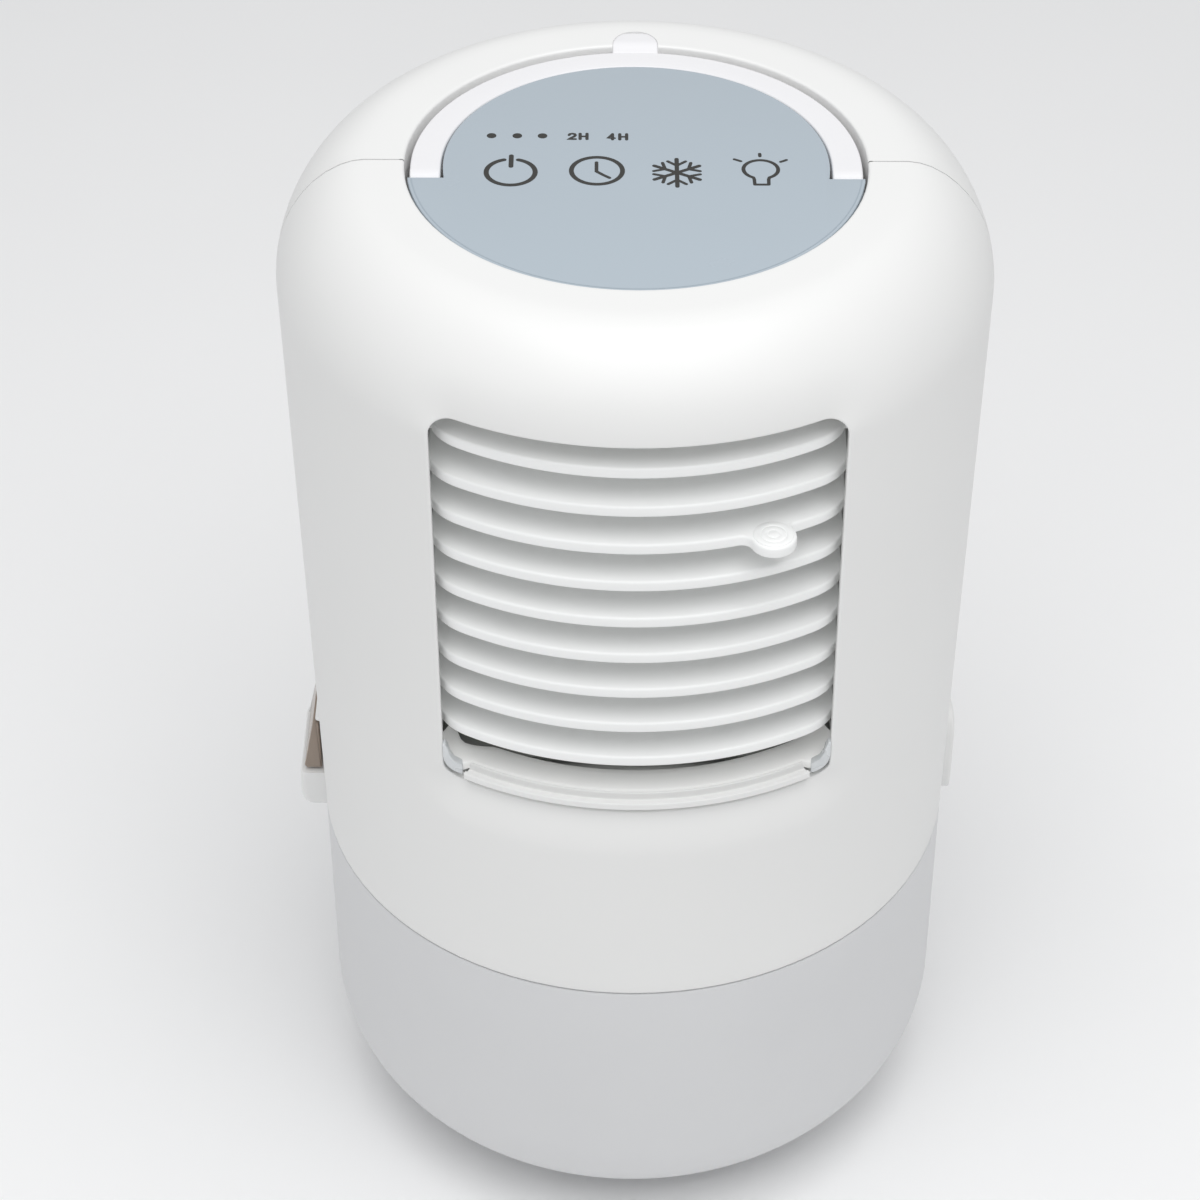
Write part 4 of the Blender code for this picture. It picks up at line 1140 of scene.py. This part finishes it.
def tab_outline_xy():
    """Disc faired into the slat's front arc: a wide hollow on the left, a tight one on the right."""
    def fairing(f, s):
        turn = math.acos((TAB_AT ** 2 + (SLAT_R + f) ** 2 - (TAB_R + f) ** 2) / (2 * TAB_AT * (SLAT_R + f)))
        a = math.radians(TAB_ANGLE) + s * turn
        centre = ((SLAT_R + f) * math.sin(a), -(SLAT_R + f) * math.cos(a))
        on_arc = (SLAT_R * math.sin(a), -SLAT_R * math.cos(a))
        d = (centre[0] - tab_x, centre[1] - tab_y)
        n = math.hypot(*d)
        on_disc = (tab_x + d[0] / n * TAB_R, tab_y + d[1] / n * TAB_R)
        t0 = math.atan2(on_arc[1] - centre[1], on_arc[0] - centre[0])
        t1 = math.atan2(on_disc[1] - centre[1], on_disc[0] - centre[0])
        turn_by = (t1 - t0 + math.pi) % (2 * math.pi) - math.pi
        pts = [(centre[0] + f * math.cos(t0 + turn_by * k / 8), centre[1] + f * math.sin(t0 + turn_by * k / 8)) for k in range(9)]
        return a, pts, math.atan2(d[1], d[0])

    a_left, left, from_ = fairing(2.4, -1)
    a_right, right_, to = fairing(0.9, 1)
    sweep = (to - from_) % (2 * math.pi)
    disc = [(tab_x + TAB_R * math.cos(from_ + sweep * k / 48), tab_y + TAB_R * math.sin(from_ + sweep * k / 48)) for k in range(1, 48)]
    inside = [((SLAT_R - 3.0) * math.sin(a_right + (a_left - a_right) * k / 8), -(SLAT_R - 3.0) * math.cos(a_right + (a_left - a_right) * k / 8)) for k in range(9)]
    return left + disc + right_[::-1] + inside


def tab_mesh(z0):
    """The tab's flat body, and the low disc on it with two fine rings."""
    top = z0 + 2.86
    body = soft_prism(tab_outline_xy(), "z", z0, z0 + SLAT_LIP + 0.01, 0.6, 5, edge_lo=0.45)
    profile = [(0, z0 + 1.5), (4.3, z0 + 1.5), (4.3, top - 0.2), (4.24, top - 0.08), (4.1, top), (3.02, top), (2.9, top - 0.05), (2.82, top - 0.13), (2.66, top - 0.13), (2.58, top - 0.05),
               (2.46, top), (1.56, top), (1.46, top - 0.05), (1.38, top - 0.13), (1.24, top - 0.13), (1.16, top - 0.05), (1.06, top), (0, top)]
    return join([body, revolve(profile, 72, lambda x, y, t: (tab_x + x, tab_y + y, t))])


for i in range(SLATS):
    z0 = slat_z(i)
    mid = z0 + SLAT_T / 2
    parts = [slat_mesh(z0)]
    for s in (1, -1):
        parts.append(revolve([(0, 42.0), (1.55, 42.2), (1.55, 43.95), (1.15, 44.1), (1.15, 45.7), (0.95, 45.9), (0, 45.9)], 24,
                             lambda x, y, t, s=s: (s * t, PIVOT_Y + x, mid + y)))
    parts.append(soft_prism(rounded(-55.5, LINK_Y + 1.3, mid - 1.3, mid + 1.3, 1.0, 4), "x", LUG_X, LUG_X + 1.4, 0.2, 2))
    parts.append(revolve([(0, LUG_X + 0.7), (0.85, LUG_X + 0.7), (0.85, LUG_X + 4.0), (0.7, LUG_X + 4.2), (0, LUG_X + 4.2)], 16,
                         lambda x, y, t: (t, LINK_Y + x, mid + y)))
    name = f"slat_{i + 1}"
    # each blade uses the faintly glowing slat white, painted light in the shade between blades
    obj = piece(f"louvre_blade_{i + 1}", *join(parts), SLAT_PAINTED_LIGHT_WHITE, name, (name,), "white_slat", sharp=40.0)
    if i == 2:
        z3 = z0
tab_nodes = [n for n in ("louvre_knob",) if n in NODES]
tab = piece("finger_tab", *tab_mesh(z3), SLAT_PAINTED_LIGHT_WHITE, "slat_3", tab_nodes, "white_slat", sharp=30.0)

# sill: a lit rail, a groove behind it, and the ledge that slopes up into the outlet
SILL = 30.5
sill = [(70.0, 146.6), (76.0, 146.6), (76.25, 146.85), (76.25, 148.2), (76.1, 148.4), (75.9, 148.45), (75.45, 148.45), (75.3, 148.3), (75.25, 147.9), (74.0, 147.85), (73.9, 148.0),
        (73.85, 149.45), (73.7, 149.65), (73.2, 149.75), (70.0, 149.75)]
piece("outlet_sill", *revolve(sill, 72, a0=-90 - SILL, a1=-90 + SILL), WHITE, "head", ("louvre_sill",), "white_shell", sharp=30.0)
sections = []
for k in range(77):
    turn = -37.0 + 74.0 * k / 76
    a = math.radians(turn)
    over = max(0.0, abs(turn) - 30.8)
    lift = 0.085 * over ** 2
    out_ = min(1.7, 4.0 * max(0.0, abs(turn) - 30.4))
    # the ledge's back edge has an angular notch at its left end
    in_ = 0.3
    if turn < -27.8:
        in_ = 0.3 + 2.9 * (-27.8 - turn) / 5.8 if turn > -33.6 else 3.2 - 2.4 * (-33.6 - turn) / 3.4
    shape = [(73.4 + out_, 148.2), (73.4 + out_, 149.7), (73.2 + out_, 149.98), (72.8 + out_, 150.15), (71.0 + 0.5 * in_, 150.6), (69.0 + in_, 151.1), (67.8 + in_, 151.3), (67.6 + in_, 151.2), (67.5 + in_, 150.9), (67.5 + in_, 149.4)]
    sections.append([(r * math.sin(a), -r * math.cos(a), z + lift) for r, z in shape])
# the ledge glows faintly, painted light in the shade under the lowest slat
piece("outlet_ledge", *loft(sections), LEDGE_PAINTED_LIGHT_WHITE, "head", (), "white_shell", sharp=40.0)
# dark grey plate behind the ledge and its notch: painted shade standing in for the outlet's deep shadow
piece("outlet_shade_plate", *soft_prism([(-43.9, -60.0), (-37.5, -60.0), (-33.0, -62.0), (33.0, -62.0), (37.5, -60.0), (43.9, -60.0), (43.9, -46.5), (-43.9, -46.5)], "z", 148.6, 150.2, 0.3, 2), OUTLET_SHADE_GREY, "head", (), "grey_plastic", sharp=40.0)
lens = [(37.5 + 5.7 * math.cos(math.radians(a)), 153.0 + 5.7 * math.sin(math.radians(a))) for a in range(-75, 1, 5)]
lens += [(43.2, 156.2), (42.6, 156.4), (42.1, 155.2), (41.7, 153.2), (40.8, 151.5), (39.0, 150.2)]
for s, side in ((1, "right"), (-1, "left")):
    piece(f"corner_window_{side}", *soft_prism([(s * x, z) for x, z in lens], "y", -65.0, -62.9, 0.25, 3), CLEAR, "head", (f"corner_lens_{side}",), "clear", sharp=40.0)

# --------------------------------------------- fill spout and hopper on the left
spout_side = [(-70.0, 109.5), (-77.3, 109.5), (-79.7, 103.6), (-83.1, 88.4), (-84.0, 86.6), (-84.1, 80.0), (-83.4, 77.6), (-81.8, 76.4), (-70.0, 76.4)]
spout_outline = round_poly(spout_side, [0, 1.5, 8.0, 1.0, 1.0, 1.6, 1.4, 1.6, 0], 6)
spout = piece("spout_hood", *soft_prism(spout_outline, "y", 2.0, 28.0, 1.3, 5), WHITE, "head", ("fill_spout",), "white_shell", sharp=40.0)
mouth = round_poly([(-60, 87.4), (-90, 87.4), (-90, 104.3), (-80, 104.6), (-60, 105.4)], 0.0)
cut(spout, *soft_prism(mouth, "y", -5, 25.4, 0.0, 3, edge_lo=0.0), sharp=40.0)
cut(spout, *revolve([(0, 60), (77.6, 60), (77.6, 130), (0, 130)], 256), sharp=40.0)
hopper_side = round_poly([(-78.5, 88.3), (-82.3, 88.3), (-82.85, 89.0), (-79.9, 103.5), (-79.2, 103.7), (-78.5, 102.6)], [0.2, 0.3, 0.3, 0.3, 0.25, 0.3], 3)
hopper = piece("hopper_bin", *soft_prism(hopper_side, "y", 3.0, 25.0, 0.35, 3), TINTED, "hopper", ("fill_hopper",), "tinted", sharp=40.0)
cut(hopper, *soft_prism([(-70, 89.7), (-81.4, 89.7), (-78.95, 107.0), (-70, 107.0)], "y", 4.3, 23.7, 0.0, 2, edge_lo=0.0), sharp=40.0)

# ------------------------------------------------------ inlet plate on the right
plate_pts = rounded(0.6, 18.4, 80.0, 106.0, 6.0, 12)


def wrap_plate(grow, r):
    out = []
    for y, z in inset(ccw(plate_pts), grow):
        out.append((math.sqrt(r * r - y * y), y, z))
    return out


rows = [wrap_plate(0.0, 77.6), wrap_plate(0.0, 79.5), wrap_plate(0.08, 79.78), wrap_plate(0.26, 79.99), wrap_plate(0.6, 80.1)]
verts, faces = loft(rows, caps=False)
m = len(rows[0])
ring_n = 64
hole_outer = []
for k in range(m):
    y, z = ccw(plate_pts)[k]
    a = math.atan2(z - INLET_Z, y - INLET_Y)
    hole_outer.append((INLET_Y + 4.7 * math.cos(a), INLET_Z + 4.7 * math.sin(a)))
base = len(verts)
verts += [(math.sqrt(80.1 ** 2 - y * y), y, z) for y, z in [(INLET_Y + (y - INLET_Y) * 1.06, INLET_Z + (z - INLET_Z) * 1.06) for y, z in hole_outer]]
verts += [(math.sqrt(79.85 ** 2 - y * y), y, z) for y, z in hole_outer]
verts += [(math.sqrt(77.6 ** 2 - y * y), y, z) for y, z in hole_outer]
start = (len(rows) - 1) * m
for k in range(m):
    j = (k + 1) % m
    faces.append([start + k, start + j, base + j, base + k])
    faces.append([base + k, base + j, base + m + j, base + m + k])
    faces.append([base + m + k, base + m + j, base + 2 * m + j, base + 2 * m + k])
    faces.append([base + 2 * m + k, base + 2 * m + j, j, k])
piece("inlet_surround", verts, faces, WHITE, "head", ("inlet_plate",), "white_shell", sharp=40.0)
socket = revolve([(0, 70.0), (4.2, 70.0), (4.2, 79.0), (4.0, 79.2), (3.2, 79.2), (3.0, 79.0), (3.0, 71.5), (0.7, 71.5), (0.7, 77.4), (0.35, 77.9), (0, 78.0)], 40,
                 lambda x, y, t: (t, INLET_Y + x, INLET_Z + y))
piece("inlet_jack", *socket, DARK, "head", ("inlet_socket",), "dark_plastic")

# --------------------------------------------------------- back: grille and pad
DRAWER_T = 0.45
SLOTS = 10
grille_outer = []
half_w, gz0, gz1 = DRAWER_HALF - DRAWER_T, DRAWER_Z0 + DRAWER_T, DRAWER_Z1 - DRAWER_T


def on_cylinder(x, z, depth):
    r = r_out(z) - depth
    return (x, math.sqrt(r * r - x * x), z)


patch = revolve([(r_out(gz0 - 3), gz0 - 3), (r_out(gz1 + 3), gz1 + 3), (r_out(gz1 + 3) - WALL, gz1 + 3), (r_out(gz0 - 3) - WALL, gz0 - 3)], 72, a0=52, a1=128)
grille = piece("intake_grille", *patch, WHITE, "filter_drawer", ("rear_grille",), "white_shell", sharp=34.0)
cut(grille, *soft_prism(rounded(-half_w, half_w, gz0, gz1, 6.6, 8), "y", 40, 100, 0.0, 2, edge_lo=0.0), operation="INTERSECT", sharp=34.0)
cut(grille, *join([soft_prism(rounded(-35, 35, 113 + 11.6 * k, 119 + 11.6 * k, 2.4, 6), "y", 50, 95, 0.0, 2, edge_lo=0.0) for k in range(SLOTS)]), sharp=34.0)
soften = grille.modifiers.new("soften", "BEVEL")
soften.width = 0.00028
soften.segments = 2
soften.limit_method = "ANGLE"
soften.angle_limit = math.radians(50)

carrier = piece("pad_carrier", *soft_prism(rounded(-38.5, 38.5, 108.0, 232.0, 3, 5), "y", 27.0, 64.0, 0.3, 2), WHITE, "filter_drawer", ("filter_frame",), "white_shell")
cut(carrier, *loft([[(x, y, z) for x, z in rounded(-36.5, 36.5, 110.0, 230.0, 2, 4)] for y in (20.0, 75.0)]))

# evaporative pad: sheets folded into upright flutes, front and back faces both pleated
pleats = 36
verts, faces = [], []
rows_z = [110.5 + (229.5 - 110.5) * k / 24 for k in range(25)]
cols = pleats * 4
for zi, z in enumerate(rows_z):
    lean = 0.55 * math.sin(zi * 0.9)
    for k in range(cols + 1):
        x = -36.0 + 72.0 * k / cols
        phase = (k % 4) / 4.0
        wave = 1.0 - abs(2 * phase - 1.0) * 2
        y = 56.7 + 1.15 * wave
        verts.append((x + (0.22 * lean if 0 < k < cols else 0.0), y, z))
    for k in range(cols + 1):
        x = -36.0 + 72.0 * k / cols
        phase = ((k + 2) % 4) / 4.0
        wave = 1.0 - abs(2 * phase - 1.0) * 2
        verts.append((x + (0.22 * lean if 0 < k < cols else 0.0), 30.2 + 1.15 * wave, z))
width = 2 * (cols + 1)
for zi in range(len(rows_z) - 1):
    a, b = zi * width, (zi + 1) * width
    for k in range(cols):
        faces.append([a + k, a + k + 1, b + k + 1, b + k])
        faces.append([a + cols + 1 + k, b + cols + 1 + k, b + cols + 2 + k, a + cols + 2 + k])
    for k in (0, cols):
        faces.append([a + k, b + k, b + cols + 1 + k, a + cols + 1 + k])
for base in (0, (len(rows_z) - 1) * width):
    for k in range(cols):
        faces.append([base + k, base + cols + 1 + k, base + cols + 2 + k, base + k + 1])
piece("pleated_pad", verts, faces, PAPER, "filter_drawer", ("filter_pad",), "filter", sharp=25.0)

# screws: pan heads with a cross recess
number = 0
for z in (112.0, 228.0):
    for angle in (SCREW_ANGLE, 180 - SCREW_ANGLE):
        number += 1
        seat = r_out(z) - 1.15
        shank = [(0, 64), (1.2, 64), (1.4, 65)]
        t = 65.4
        while t < seat - 1.0:
            shank += [(1.4, t), (1.12, t + 0.25), (1.4, t + 0.5)]
            t += 1.0
        head_profile = shank + [(1.4, seat + 0.3), (3.0, seat + 0.3), (3.12, seat + 0.42), (3.1, seat + 0.75), (2.85, seat + 1.02), (2.3, seat + 1.22), (1.2, seat + 1.32), (0, seat + 1.35)]
        screw = piece(f"case_screw_{number}", *revolve(head_profile, 36, radial(angle, z)), SCREW_STEEL, "head", (f"screw_{number}",), "steel", sharp=40.0)
        place_at = radial(angle, z)
        cross = []
        for w, h in ((1.75, 0.42), (0.42, 1.75)):
            low = [place_at(x * 0.55, y * 0.55, seat + 0.5) for x, y in ((-w, -h), (w, -h), (w, h), (-w, h))]
            high = [place_at(x, y, seat + 2.0) for x, y in ((-w, -h), (w, -h), (w, h), (-w, h))]
            cross.append(loft([low, high]))
        for shape in cross:
            cut(screw, *shape, sharp=40.0)

# lamp board: a row of small domed lamps on its underside
lamps = []
for k in range(12):
    a = math.radians(15 + 30 * k)
    cx, cy = 62.5 * math.cos(a), 62.5 * math.sin(a)
    lamps.append(revolve([(0, 87.7), (1.7, 87.7), (1.7, 87.0), (1.45, 86.55), (0.9, 86.25), (0, 86.15)], 20, lambda x, y, t, cx=cx, cy=cy: (cx + x, cy + y, t)))
piece("lamp_domes", *join(lamps), LED, "head", sharp=50.0)

# ------------------------------------------- carried-over CAD nodes: finishes
FINISH = {
    "chassis_tray": INNER_WHITE, "tank_seal": RUBBER, "lamp_board": LAMP, "control_board": BOARD, "handle_pin_left": STEEL,
    "handle_pin_right": STEEL, "louvre_frame": FRAME_WHITE, "link_bar": GREY, "fan_shroud": INNER_WHITE, "motor_bracket": INNER_WHITE,
    "fan_motor": STEEL, "motor_shaft": STEEL, "fan_rotor": GREY, "drip_tray": INNER_WHITE, "pump": DARK, "riser_tube": TUBE,
    "power_board": BOARD,
}
for name, look in FINISH.items():
    obj = NODES[name]
    if not obj.material_slots:
        obj.data.materials.append(look)
    for s in obj.material_slots:
        s.material = look
    if name not in ("riser_tube", "fan_rotor", "control_board", "power_board", "lamp_board"):
        mod = obj.modifiers.new("soften", "BEVEL")
        mod.width = 0.0003
        mod.segments = 2
        mod.limit_method = "ANGLE"
        mod.angle_limit = math.radians(38)
        mod.harden_normals = False
